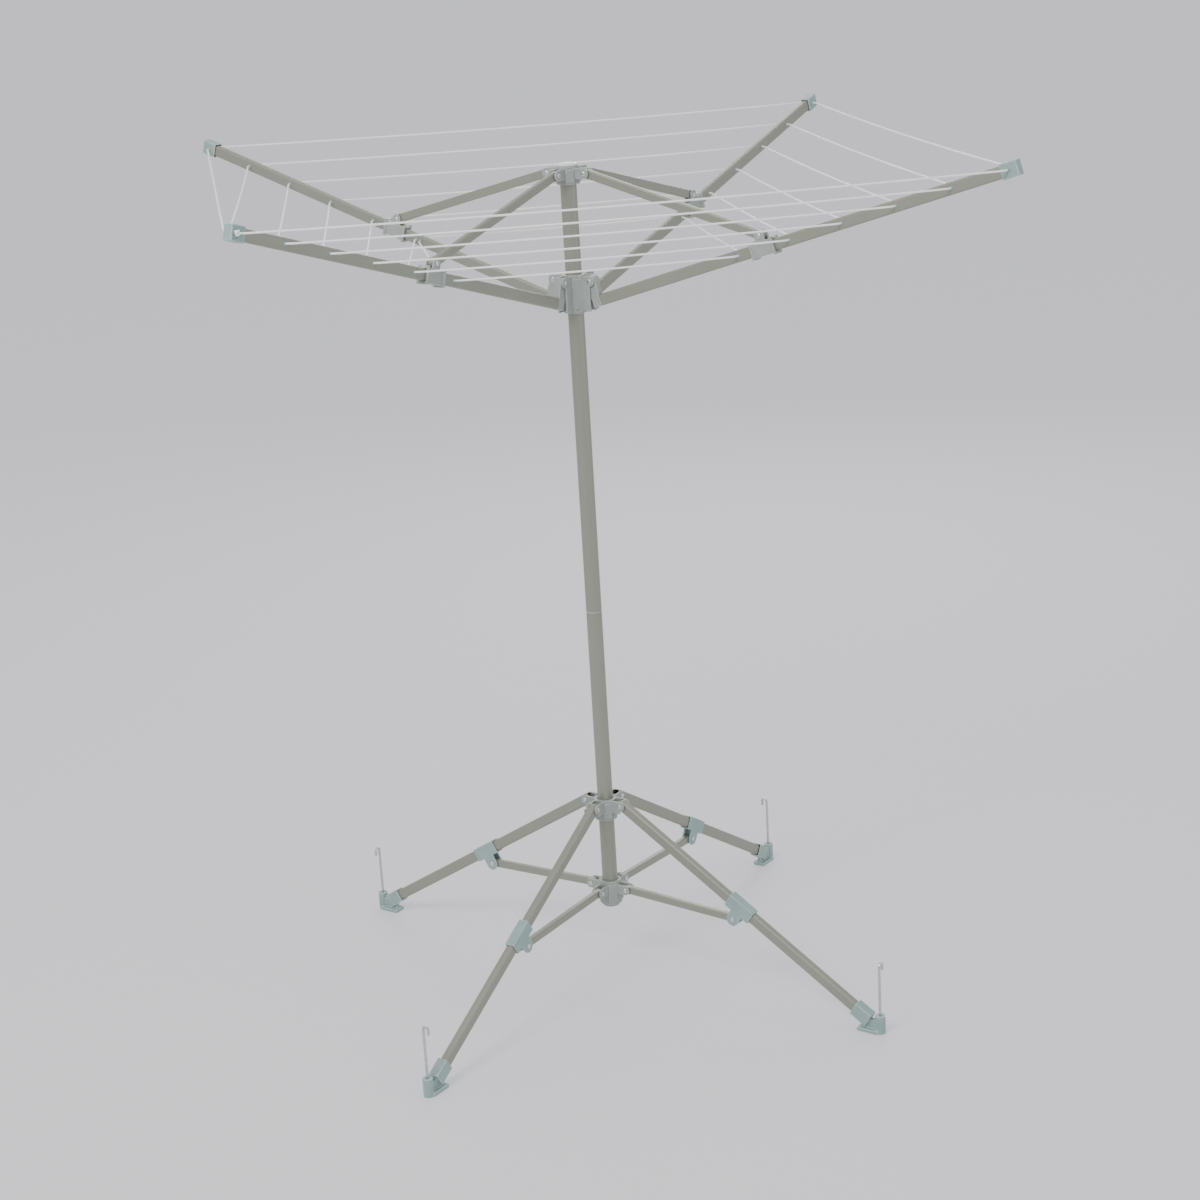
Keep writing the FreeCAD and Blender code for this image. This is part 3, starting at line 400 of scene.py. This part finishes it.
cap_plastic = moulded_plastic("cap_white", CAP_COLOUR, CAP_SHADE, CAP_EDGE_WEAR_AND_HIGHLIGHT, 0.38)
low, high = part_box("mast_cap")
under = high.z - CAP_THICKNESS
crown = [
    (high.x * share, high.z - CAP_CROWN * share ** 2)
    for share in (number / CROWN_STEPS for number in range(CROWN_STEPS))
]
crown = [(radius, height) for radius, height in crown if abs(radius - MARK_RADIUS) > MARK_DEPTH * 2]
mark_height = high.z - CAP_CROWN * (MARK_RADIUS / high.x) ** 2
crown += [
    (MARK_RADIUS - MARK_DEPTH, mark_height), (MARK_RADIUS, mark_height - MARK_DEPTH),
    (MARK_RADIUS + MARK_DEPTH, mark_height),
]
outline = sorted(crown) + [
    (high.x - CAP_ROUND * CORNER_SHARE, high.z - CAP_CROWN - CAP_BROW),
    (high.x, high.z - CAP_CROWN - CAP_ROUND),
    (high.x, under + CAP_UNDER_ROUND), (high.x - CAP_UNDER_ROUND, under),
    (stem, under), (stem, low.z + PLUG_LIP), (stem - PLUG_LIP, low.z), (0.0, low.z),
]
finish_piece(lathe(outline, MAST_STEPS, closed=False), "mast_cap_piece", "head", cap_plastic,
             ["mast_cap"])


# ---------------------------------------------------------------- hubs
# Four moulded nylon hubs with a pair of ears for each tube: one under the mast cap, the runner that
# carries the arms, the leg hub that slides, and the fixed one at the foot. Every edge is eased by
# the mould, and the collars carry raised pads between the ears.
HUB_COLOUR = (0.32, 0.35, 0.325, 1.0)
HUB_SHADE = (0.265, 0.295, 0.27, 1.0)
# colour of the rounded edges: partly wear, partly a painted highlight
HUB_EDGE_WEAR_AND_HIGHLIGHT = (0.52, 0.55, 0.53, 1.0)
HUB_EDGE = 0.0007
EDGE_STEPS = 3
SHARP_FROM = math.radians(30)
FLAT_WITHIN = math.radians(0.6)
COLLAR_RADIUS = 0.0205
PAD_WIDTH = 0.015
PAD_PROUD = 0.0016
PAD_SUNK = 0.004
PAD_EDGE = 0.0012


def ease_edges(bm, width, steps=EDGE_STEPS, clamp=False):
    """Round the sharp edges and mark the new faces as rim."""
    rim = bm.faces.layers.float.get("rim") or bm.faces.layers.float.new("rim")
    sharp = [edge for edge in bm.edges if edge.is_manifold and edge.calc_face_angle() > SHARP_FROM]
    eased = bmesh.ops.bevel(bm, geom=sharp, offset=width, offset_type="OFFSET", segments=steps, profile=0.5,
                            affect="EDGES", clamp_overlap=clamp, loop_slide=True, material=-1)
    for face in eased["faces"]:
        face[rim] = 1.0


def skin_of(node):
    """The node's shape as one skin: its doubles merged and its flat sides made whole."""
    bm = bmesh.new()
    bm.from_mesh(frame["nodes"][node].data)
    bmesh.ops.remove_doubles(bm, verts=bm.verts, dist=DOUBLES_WITHIN)
    bmesh.ops.dissolve_limit(bm, angle_limit=FLAT_WITHIN, verts=bm.verts, edges=bm.edges,
                             use_dissolve_boundaries=False, delimit=set())
    return bm


def even_shading(piece):
    """Shade by face area, so that a flat side stays flat up to its rounded edge."""
    shading = piece.modifiers.new("even_shading", "WEIGHTED_NORMAL")
    shading.keep_sharp = True


def collar_pad(azimuth, bottom, top):
    """Raised rectangular pad on the collar's face at this azimuth, with rounded edges."""
    pad = bmesh.new()
    bmesh.ops.create_cube(pad, size=1.0)
    depth = PAD_PROUD + PAD_SUNK
    middle = (COLLAR_RADIUS + PAD_PROUD - depth / 2, 0, (top + bottom) / 2)
    bmesh.ops.scale(pad, vec=(depth, PAD_WIDTH, top - bottom), verts=pad.verts)
    bmesh.ops.translate(pad, vec=middle, verts=pad.verts)
    ease_edges(pad, PAD_EDGE)
    turn = Matrix.Rotation(math.radians(azimuth), 3, "Z")
    bmesh.ops.rotate(pad, cent=(0, 0, 0), matrix=turn, verts=pad.verts)
    return pad


def join_into(bm, *others):
    """Add the other meshes to this one."""
    for other in others:
        data = bpy.data.meshes.new("part")
        other.to_mesh(data)
        other.free()
        bm.from_mesh(data)
        bpy.data.meshes.remove(data)


hub_plastic = moulded_plastic("hub_grey_green", HUB_COLOUR, HUB_SHADE, HUB_EDGE_WEAR_AND_HIGHLIGHT)
# node, body, the pads' azimuths, and the pads' ends below the hub's top and above its bottom
hubs = (
    ("top_hub", "head", (0, 90, 180, 270), 0.005, 0.004),
    ("arm_runner", "runner", (90, 180, 270), 0.006, 0.008),
    ("leg_hub", "leg_slider", (0, 90, 270), 0.005, 0.005),
    ("lower_hub", "base", (0, 90, 180, 270), 0.005, 0.005),
)
for node, body, azimuths, below_top, above_bottom in hubs:
    low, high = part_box(node)
    skin = skin_of(node)
    ease_edges(skin, HUB_EDGE)
    join_into(skin, *(collar_pad(azimuth, low.z + above_bottom, high.z - below_top) for azimuth in azimuths))
    even_shading(finish_piece(skin, node + "_piece", body, hub_plastic, [node]))


# ---------------------------------------------------------------- hub rivets
# Solid aluminium rivets across each pair of ears, their domed heads set cold against the plastic.
# The leg hub's are two short ends a side, so that the legs can swing between them.
RIVET_COLOUR = (0.68, 0.69, 0.70, 1.0)
RIVET_DULL = (0.50, 0.51, 0.52, 1.0)
RIVET_RADIUS = 0.0025
RIVET_HEAD_RADIUS = 0.0046
RIVET_HEAD_HEIGHT = 0.0018
HEAD_RIM_SHARE = 0.15
HEAD_SEAT_SHARE = 0.97
RIVET_STEPS = 32
DOME_STEPS = 5
EAR_WALL = 0.0036
# half the width across the ears of each hub
TOP_HUB_HALF = 0.0091
RUNNER_HALF = 0.0101
LEG_HUB_HALF = 0.0111
LOWER_HUB_HALF = 0.0096
LEG_PIVOT_DROP = 0.009

joint = {item["name"]: item for item in frame["joints"]}
rivet_metal = zinc_steel("bright_aluminium", RIVET_COLOUR, RIVET_DULL, 900.0)


def rivet_head(seat, up):
    """Outline of a domed head from its pole to its seat, at this height and facing up or down."""
    dome = []
    for number in range(DOME_STEPS + 1):
        turn = math.radians(90) * number / DOME_STEPS
        height = seat + up * RIVET_HEAD_HEIGHT * (HEAD_RIM_SHARE + (1 - HEAD_RIM_SHARE) * math.cos(turn))
        dome.append((RIVET_HEAD_RADIUS * math.sin(turn), height))
    return dome + [(RIVET_HEAD_RADIUS * HEAD_SEAT_SHARE, seat), (RIVET_RADIUS, seat)]


def rivet(place, across, half, inner=None):
    """Rivet through a pivot, its axis across. With inner given it's two ends that stop there."""
    if inner is None:
        outlines = [rivet_head(half, 1) + list(reversed(rivet_head(-half, -1)))]
    else:
        outlines = [rivet_head(side * half, side) + [(RIVET_RADIUS, side * inner), (0.0, side * inner)]
                    for side in (1, -1)]
    bm = bmesh.new()
    for outline in outlines:
        lathe(outline, RIVET_STEPS, closed=False, bm=bm)
    turn = Vector(across).to_track_quat("Z", "Y").to_matrix().to_4x4()
    bmesh.ops.transform(bm, matrix=Matrix.Translation(place) @ turn, verts=bm.verts)
    return bm


def pivot_rivets(name, body, node, pivots, half, inner=None):
    """The rivets of one hub or bracket as one piece."""
    bm = bmesh.new()
    join_into(bm, *(rivet(place, across, half, inner) for place, across in pivots))
    return finish_piece(bm, name, body, rivet_metal, [node] if node else [])


def pivot_of(name):
    """Place and axis of a joint."""
    return Vector(joint[name]["pos_m"]), Vector(joint[name]["axis"])


def round_mast(pivot, count=4):
    """The pivot repeated round the mast."""
    place, across = pivot
    turns = [Matrix.Rotation(math.tau * number / count, 3, "Z") for number in range(count)]
    return [(turn @ place, turn @ across) for turn in turns]


foot_pivot = pivot_of("leg_1_strut_hinge")
low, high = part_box("leg_hub")
leg_top_pivot = (Vector((foot_pivot[0].x, foot_pivot[0].y, high.z - LEG_PIVOT_DROP)), foot_pivot[1])
pivot_rivets("top_hub_rivets", "head", "top_hub_pins", round_mast(pivot_of("arm_fold")), TOP_HUB_HALF)
pivot_rivets("arm_runner_rivets", "runner", "arm_runner_pins", round_mast(pivot_of("runner_hinge")),
             RUNNER_HALF)
pivot_rivets("leg_hub_rivet_ends", "leg_slider", "leg_hub_rivets", round_mast(leg_top_pivot), LEG_HUB_HALF,
             LEG_HUB_HALF - EAR_WALL)
pivot_rivets("lower_hub_rivets", "base", "lower_hub_pins", round_mast(foot_pivot), LOWER_HUB_HALF)


# ---------------------------------------------------------------- lock knobs
# Two fluted screw knobs in a darker grey, moulded over a steel stud. Each screws through a boss of
# its hub and grips the mast; a shallow dimple marks the moulding gate on its end.
KNOB_COLOUR = (0.235, 0.255, 0.24, 1.0)
KNOB_SHADE = (0.19, 0.205, 0.195, 1.0)
# colour of the rounded edges: partly wear, partly a painted highlight
KNOB_EDGE_WEAR_AND_HIGHLIGHT = (0.36, 0.38, 0.36, 1.0)
KNOB_EDGE = 0.0010
DIMPLE_INSET = 0.0018
DIMPLE_DEPTH = 0.0008

knob_plastic = moulded_plastic("knob_grey", KNOB_COLOUR, KNOB_SHADE, KNOB_EDGE_WEAR_AND_HIGHLIGHT, 0.42)
for node, body in (("runner_lock_knob", "runner_knob"), ("leg_lock_knob", "leg_knob")):
    skin = skin_of(node)
    ease_edges(skin, KNOB_EDGE)
    end = max(skin.faces, key=bmesh.types.BMFace.calc_area)
    bmesh.ops.inset_region(skin, faces=[end], thickness=DIMPLE_INSET, depth=0.0)
    bmesh.ops.inset_region(skin, faces=[end], thickness=DIMPLE_DEPTH, depth=-DIMPLE_DEPTH)
    even_shading(finish_piece(skin, node + "_piece", body, knob_plastic, [node]))


# ---------------------------------------------------------------- arm and leg tubes and struts
# Flat-sided aluminium tube in the mast's olive grey coat: long arms and legs, and lighter struts
# whose ends are crimped and rounded round their pivots. Holes and cut ends are deburred.
SIDES = (1, 2, 3, 4)
TUBE_EDGE = 0.0003
TUBE_EDGE_STEPS = 2


def lengthwise(bm):
    """The axes of a straight piece: X along its longest edge and away from the mast, Y level."""
    longest = max(bm.edges, key=bmesh.types.BMEdge.calc_length)
    along = (longest.verts[1].co - longest.verts[0].co).normalized()
    corners = [Vector([end(vert.co[axis] for vert in bm.verts) for axis in range(3)]) for end in (min, max)]
    middle = (corners[0] + corners[1]) / 2
    if along.xy.dot(middle.xy) < 0:
        along.negate()
    side = Vector((0, 0, 1)).cross(along).normalized()
    return Matrix.Translation(middle) @ Matrix((along, side, along.cross(side))).transposed().to_4x4()


tube_axes = {}
for number in SIDES:
    for kind, carrier in (("arm_tube", "arm"), ("arm_strut", "arm_strut"), ("leg_tube", "leg"),
                          ("leg_strut", "leg_strut")):
        node, body = "%s_%d" % (kind, number), "%s_%d" % (carrier, number)
        skin = skin_of(node)
        tube_axes[node] = lengthwise(skin)
        ease_edges(skin, TUBE_EDGE, TUBE_EDGE_STEPS, clamp=True)
        even_shading(finish_piece(skin, node + "_piece", body, coat, [node], tube_axes[node]))


# ---------------------------------------------------------------- arm and leg brackets
# Moulded sleeves pressed over the tubes, the arms' in the hubs' grey green and the legs' in a
# pale blue green. Two ears hold the strut between them on a rivet.
FITTING_COLOUR = (0.285, 0.395, 0.375, 1.0)
FITTING_SHADE = (0.23, 0.33, 0.315, 1.0)
# colour of the rounded edges: partly wear, partly a painted highlight
FITTING_EDGE_WEAR_AND_HIGHLIGHT = (0.52, 0.61, 0.59, 1.0)
FITTING_EDGE = 0.0008
RIVET_CLEAR = 0.0049
ARM_BRACKET_HALF = 0.0084
LEG_BRACKET_HALF = 0.0094

fitting_plastic = moulded_plastic("fitting_blue_green", FITTING_COLOUR, FITTING_SHADE, FITTING_EDGE_WEAR_AND_HIGHLIGHT)


def without_rivet(node, place, across):
    """The bracket's shape with its rivet taken out and the rivet's holes closed."""
    bm = bmesh.new()
    bm.from_mesh(frame["nodes"][node].data)
    bmesh.ops.remove_doubles(bm, verts=bm.verts, dist=DOUBLES_WITHIN)

    def from_axis(vert):
        offset = vert.co - place
        return (offset - across * offset.dot(across)).length

    near = [face for face in bm.faces if all(from_axis(vert) < RIVET_CLEAR for vert in face.verts)]
    bmesh.ops.delete(bm, geom=near, context="FACES")
    bmesh.ops.holes_fill(bm, edges=[edge for edge in bm.edges if edge.is_boundary], sides=0)
    bmesh.ops.recalc_face_normals(bm, faces=bm.faces)
    bmesh.ops.dissolve_limit(bm, angle_limit=FLAT_WITHIN, verts=bm.verts, edges=bm.edges,
                             use_dissolve_boundaries=False, delimit=set())
    return bm


for number in SIDES:
    arm_turn = Matrix.Rotation(math.tau / len(SIDES) * (number - 1), 3, "Z")
    place, across = pivot_of("arm_1_bracket_hinge")
    brackets = (
        ("arm", arm_turn @ place, arm_turn @ across, ARM_BRACKET_HALF, "hub_plastic", hub_plastic),
        ("leg", *pivot_of("leg_%d_bracket_hinge" % number), LEG_BRACKET_HALF, "fitting_plastic",
         fitting_plastic),
    )
    for limb, place, across, half, slot, material in brackets:
        node, body = "%s_bracket_%d" % (limb, number), "%s_%d" % (limb, number)
        skin = without_rivet(node, place, across)
        ease_edges(skin, FITTING_EDGE)
        even_shading(finish_piece(skin, node + "_piece", body, material, [node]))
        pivot_rivets("%s_bracket_rivet_%d" % (limb, number), body, None, [(place, across)], half)


# ---------------------------------------------------------------- arm knuckles, end caps and feet
# The moulded inner ends of the arms, in the hubs' grey green; the closed caps on their tips, and
# the shoes on the legs with a flat sole and an upright socket for the peg, in the blue green.
KNUCKLE_EDGE = 0.0009
CAP_EDGE = 0.0016
SHOE_EDGE = 0.0012

mouldings = (
    ("arm_knuckle", "arm", "hub_plastic", hub_plastic, KNUCKLE_EDGE),
    ("arm_end_cap", "arm", "fitting_plastic", fitting_plastic, CAP_EDGE),
    ("leg_foot", "leg", "fitting_plastic", fitting_plastic, SHOE_EDGE),
)
for kind, carrier, slot, material, edge in mouldings:
    for number in SIDES:
        node = "%s_%d" % (kind, number)
        skin = skin_of(node)
        ease_edges(skin, edge)
        even_shading(finish_piece(skin, node + "_piece", "%s_%d" % (carrier, number), material, [node]))


# ---------------------------------------------------------------- ground pegs
# Zinc-plated wire with a ground point, its top turned over into a crook. Each stands in the socket
# of a foot until it's pushed into the grass.
PEG_RADIUS = 0.0024
PEG_CROOK = 0.0053
PEG_TIP_SHARE = 0.3
PEG_POINT = 0.011
CROOK_STEPS = 8
CROOK_DROP = 0.008
STRAIGHT_END = 0.02
WIRE_STEPS = 6
WIRE_SIDES = 3

peg_zinc = zinc_steel("peg_zinc", ZINC, ZINC_DULL, 500.0)


def wire(points, radius, tapers=None, smooth_steps=WIRE_STEPS, sides=WIRE_SIDES):
    """Round wire along a smooth line through these control points, as a mesh with closed ends."""
    line = bpy.data.curves.new("wire", "CURVE")
    line.dimensions = "3D"
    line.bevel_depth = radius
    line.bevel_resolution = sides
    line.use_fill_caps = True
    line.resolution_u = smooth_steps
    spline = line.splines.new("NURBS")
    spline.points.add(len(points) - 1)
    for number, place in enumerate(points):
        spline.points[number].co = (*place, 1.0)
        spline.points[number].radius = tapers[number] if tapers else 1.0
    spline.order_u = 3
    spline.use_endpoint_u = True
    shape = bpy.data.objects.new("wire", line)
    data = bpy.data.meshes.new_from_object(shape)
    bm = bmesh.new()
    bm.from_mesh(data)
    for item, store in ((shape, bpy.data.objects), (line, bpy.data.curves), (data, bpy.data.meshes)):
        store.remove(item)
    return bm


for number in SIDES:
    node = "ground_peg_%d" % number
    low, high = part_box(node)
    foot = (low + high) / 2
    out = Vector((foot.x, foot.y, 0)).normalized()
    across = Vector((0, 0, 1)).cross(out)
    bend = high.z - PEG_RADIUS - PEG_CROOK
    stem_heights = (low.z, low.z + PEG_POINT / 2, low.z + PEG_POINT, low.z + PEG_POINT * 2,
                    bend - STRAIGHT_END)
    points = [Vector((foot.x, foot.y, height)) for height in stem_heights]
    centre = Vector((foot.x, foot.y, bend)) + across * PEG_CROOK
    for step in range(CROOK_STEPS + 1):
        turn = math.pi * step / CROOK_STEPS
        rise = Vector((0, 0, PEG_CROOK * math.sin(turn)))
        points.append(centre - across * PEG_CROOK * math.cos(turn) + rise)
    points.append(points[-1] - Vector((0, 0, CROOK_DROP)))
    tapers = [PEG_TIP_SHARE, (1 + PEG_TIP_SHARE) / 2] + [1.0] * (len(points) - 2)
    finish_piece(wire(points, PEG_RADIUS, tapers), node + "_piece", "peg_%d" % number, peg_zinc,
                 [node])


# ---------------------------------------------------------------- drying line
# One length of white PVC-covered line, threaded through six holes of every arm from the tips to the
# brackets and knotted at both ends. It's strung tight with a slight sag. Each arm carries the
# stretches that pass through it, and each run between two arms is two halves, each carried by its
# own arm.
LINE_COLOUR = (0.93, 0.93, 0.92, 1.0)
LINE_SHADE = (0.86, 0.86, 0.85, 1.0)
LINE_RADIUS = 0.0016
LINE_HOLES = 6
FIRST_HOLE = 0.816
LAST_HOLE = 0.33595
TIE_OFFSET = 0.008
LINE_SAG = 0.0045
ARM_HALF_WIDTH = 0.006
BEND_REACH = 0.0037
CAP_WALL = 0.0026
LEAD = 0.014
LINE_SIDES = 2
RUN_STEPS = 16
BEND_STEPS = 8
KNOT_SIZE = 0.00135
KNOT_RADIUS = 0.00144
KNOT_STEPS = 28
KNOT_SMOOTHING = 2


def line_cover(name):
    """Smooth PVC sheath, a little greyed where hands and clothes pegs have been."""
    material = bpy.data.materials.new(name)
    material.use_nodes = True
    add, join, shader = node_maker(material)
    place = add("ShaderNodeTexCoord").outputs["Object"]
    handled, ripple = noise(add, 14.0, 6.0, 0.65), noise(add, 1100.0, 2.0)
    for texture in (handled, ripple):
        join(place, texture.inputs["Vector"])
    soiled = ramp(add, join, handled.outputs["Fac"], 0.40, 0.75, 0.0, 1.0)
    join(blend_colours(add, join, soiled, LINE_COLOUR, LINE_SHADE), shader.inputs["Base Color"])
    join(ramp(add, join, handled.outputs["Fac"], 0.3, 0.7, 0.34, 0.46), shader.inputs["Roughness"])
    join(bump(add, join, ripple.outputs["Fac"], 0.0001, 0.2), shader.inputs["Normal"])
    return material


line_pvc = line_cover("line_white_pvc")
arm_axis = {number: tube_axes["arm_tube_%d" % number] for number in SIDES}
tip_cap_start = {}
for number in SIDES:
    low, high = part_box("arm_end_cap_%d" % number)
    corners = [Vector((x, y, 0)).length for x in (low.x, high.x) for y in (low.y, high.y)]
    tip_cap_start[number] = min(corners)


def on_arm(number, radius):
    """Point on the arm's axis at this distance from the mast."""
    axes = arm_axis[number]
    along, middle = axes.to_3x3().col[0], axes.translation
    return middle + along * ((radius - middle.xy.length) / along.xy.length)


def hole_exit(number, radius, side):
    """Where the line leaves the hole, on the arm's clockwise (-1) or anticlockwise (1) side."""
    half = ARM_HALF_WIDTH + (CAP_WALL if radius > tip_cap_start[number] else 0.0)
    return on_arm(number, radius) + arm_axis[number].to_3x3().col[1] * side * half


def hole_corner(number, radius, side):
    """The corner about which the line bends outside the hole."""
    return hole_exit(number, radius, side) + arm_axis[number].to_3x3().col[1] * side * BEND_REACH


def run_point(start, end, share):
    """Point of a run between two corners at a share of its length, with its sag."""
    sag = LINE_SAG * (end - start).length * 4 * share * (1 - share)
    return start.lerp(end, share) - Vector((0, 0, sag))


holes = [FIRST_HOLE + (LAST_HOLE - FIRST_HOLE) * step / (LINE_HOLES - 1) for step in range(LINE_HOLES)]
outer_tie, inner_tie = holes[0] + TIE_OFFSET, holes[-1] - TIE_OFFSET
runs = [((first, radius), (second, radius)) for first, second in ((1, 2), (3, 4), (4, 1)) for radius in holes]
runs.append(((2, holes[0]), (3, outer_tie)))
runs += [((2, inner), (3, outer)) for outer, inner in zip(holes, holes[1:])]
runs.append(((2, inner_tie), (3, holes[-1])))

fold = math.radians(joint["arm_fold"]["range_deg"][1])
runner_place = pivot_of("runner_hinge")[0]


def folded(number, point, is_direction=False):
    """A point or direction that rides on the arm, once the arm is folded."""
    turn = Matrix.Rotation(math.tau / len(SIDES) * (number - 1), 3, "Z")
    hinge = turn @ runner_place
    level = Vector((0, 0, 1)).cross(Vector((hinge.x, hinge.y, 0))).normalized()
    up = Matrix.Rotation(-fold, 3, level)
    return up @ point if is_direction else hinge + up @ (point - hinge)


leads = {}
for number, ((first, first_radius), (second, second_radius)) in enumerate(runs, start=1):
    corners = (hole_corner(first, first_radius, 1), hole_corner(second, second_radius, -1))
    length = (corners[1] - corners[0]).length
    ends = []
    for arm, radius, side, start, end in (
        (first, first_radius, 1, *corners), (second, second_radius, -1, *reversed(corners))
    ):
        share = LEAD / length
        begin, middle = run_point(start, end, share), run_point(start, end, 0.5)
        leads.setdefault((arm, round(radius, 5)), {})[side] = (start, begin)
        slope = (end - start) - Vector((0, 0, LINE_SAG * length * 4 * (1 - 2 * share)))
        bend = begin + slope * (0.5 - share) / 2
        ends.append((arm, begin, bend, middle, (end - start).normalized()))
    # where the two halves come closest once the arms are folded, measured along each from its arm
    sag_drop = Vector((0, 0, LINE_SAG * length))
    places = [folded(arm, begin - sag_drop) for arm, begin, bend, middle, along in ends]
    directions = [folded(arm, along, True) for arm, begin, bend, middle, along in ends]
    apart, cosine = places[1] - places[0], directions[0].dot(directions[1])
    reach_first = (apart.dot(directions[0]) - cosine * apart.dot(directions[1])) / (1 - cosine ** 2)
    reach_second = (cosine * apart.dot(directions[0]) - apart.dot(directions[1])) / (1 - cosine ** 2)
    for half, (arm, begin, bend, middle, along), reach in zip("ab", ends, (reach_first, reach_second)):
        bm = wire([begin, bend, middle], LINE_RADIUS, smooth_steps=RUN_STEPS, sides=LINE_SIDES)
        piece = finish_piece(bm, "line_run_%02d%s" % (number, half), "arm_%d" % arm, line_pvc)
        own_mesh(piece)


def knot(place, along):
    """Overhand knot pulled tight against the arm."""
    loop = []
    for step in range(KNOT_STEPS):
        turn = math.tau * step / KNOT_STEPS
        x = math.sin(turn) + 2 * math.sin(2 * turn)
        y = math.cos(turn) - 2 * math.cos(2 * turn)
        loop.append(Vector((x, y, -math.sin(3 * turn))))
    facing = Vector(along).to_track_quat("Z", "Y").to_matrix()
    return [place + facing @ point * KNOT_SIZE for point in loop + loop[:1]]


for number in SIDES:
    bm = bmesh.new()
    for (arm, radius), sides in sorted(leads.items()):
        if arm != number:
            continue
        if len(sides) == 2:
            path = [sides[-1][1], sides[-1][0], sides[1][0], sides[1][1]]
            join_into(bm, wire(path, LINE_RADIUS, smooth_steps=BEND_STEPS, sides=LINE_SIDES))
        else:
            side = next(iter(sides))
            behind = hole_corner(arm, radius, -side)
            across = arm_axis[arm].to_3x3().col[1] * -side
            path = [sides[side][1], sides[side][0], behind]
            loops = knot(behind + across * KNOT_SIZE, across)
            join_into(bm, wire(path, LINE_RADIUS, smooth_steps=BEND_STEPS, sides=LINE_SIDES),
                      wire(loops, KNOT_RADIUS, smooth_steps=KNOT_SMOOTHING, sides=LINE_SIDES))
    finish_piece(bm, "line_through_arm_%d" % number, "arm_%d" % number, line_pvc,
                 ["drying_line_%d" % number])


# ---------------------------------------------------------------- line eyelets
# Small flanged bushes of the fittings' plastic, snapped into both mouths of every hole so that the
# line runs on plastic and not on the tube's cut edge.
EYELET_BORE = 0.0019
EYELET_RADIUS = 0.0037
EYELET_PROUD = 0.0009
EYELET_SUNK = 0.0004
EYELET_SHOULDER = 0.00036
EYELET_FLAT_RADIUS = 0.003182
EYELET_MOUTH_RADIUS = 0.00247
EYELET_MOUTH_DEPTH = 0.00054
EYELET_STEPS = 24

for number in SIDES:
    bm = bmesh.new()
    for arm, radius in sorted(leads):
        if arm != number:
            continue
        for side in (-1, 1):
            bush_ring = lathe([
                (EYELET_BORE, -EYELET_SUNK), (EYELET_RADIUS, -EYELET_SUNK), (EYELET_RADIUS, EYELET_SHOULDER),
                (EYELET_FLAT_RADIUS, EYELET_PROUD), (EYELET_MOUTH_RADIUS, EYELET_PROUD),
                (EYELET_BORE, EYELET_MOUTH_DEPTH),
            ], EYELET_STEPS)
            outward = arm_axis[number].to_3x3().col[1] * side
            turn = outward.to_track_quat("Z", "Y").to_matrix().to_4x4()
            bmesh.ops.transform(bush_ring, matrix=Matrix.Translation(hole_exit(arm, radius, side)) @ turn,
                                verts=bush_ring.verts)
            join_into(bm, bush_ring)
    finish_piece(bm, "line_eyelets_%d" % number, "arm_%d" % number, fitting_plastic)
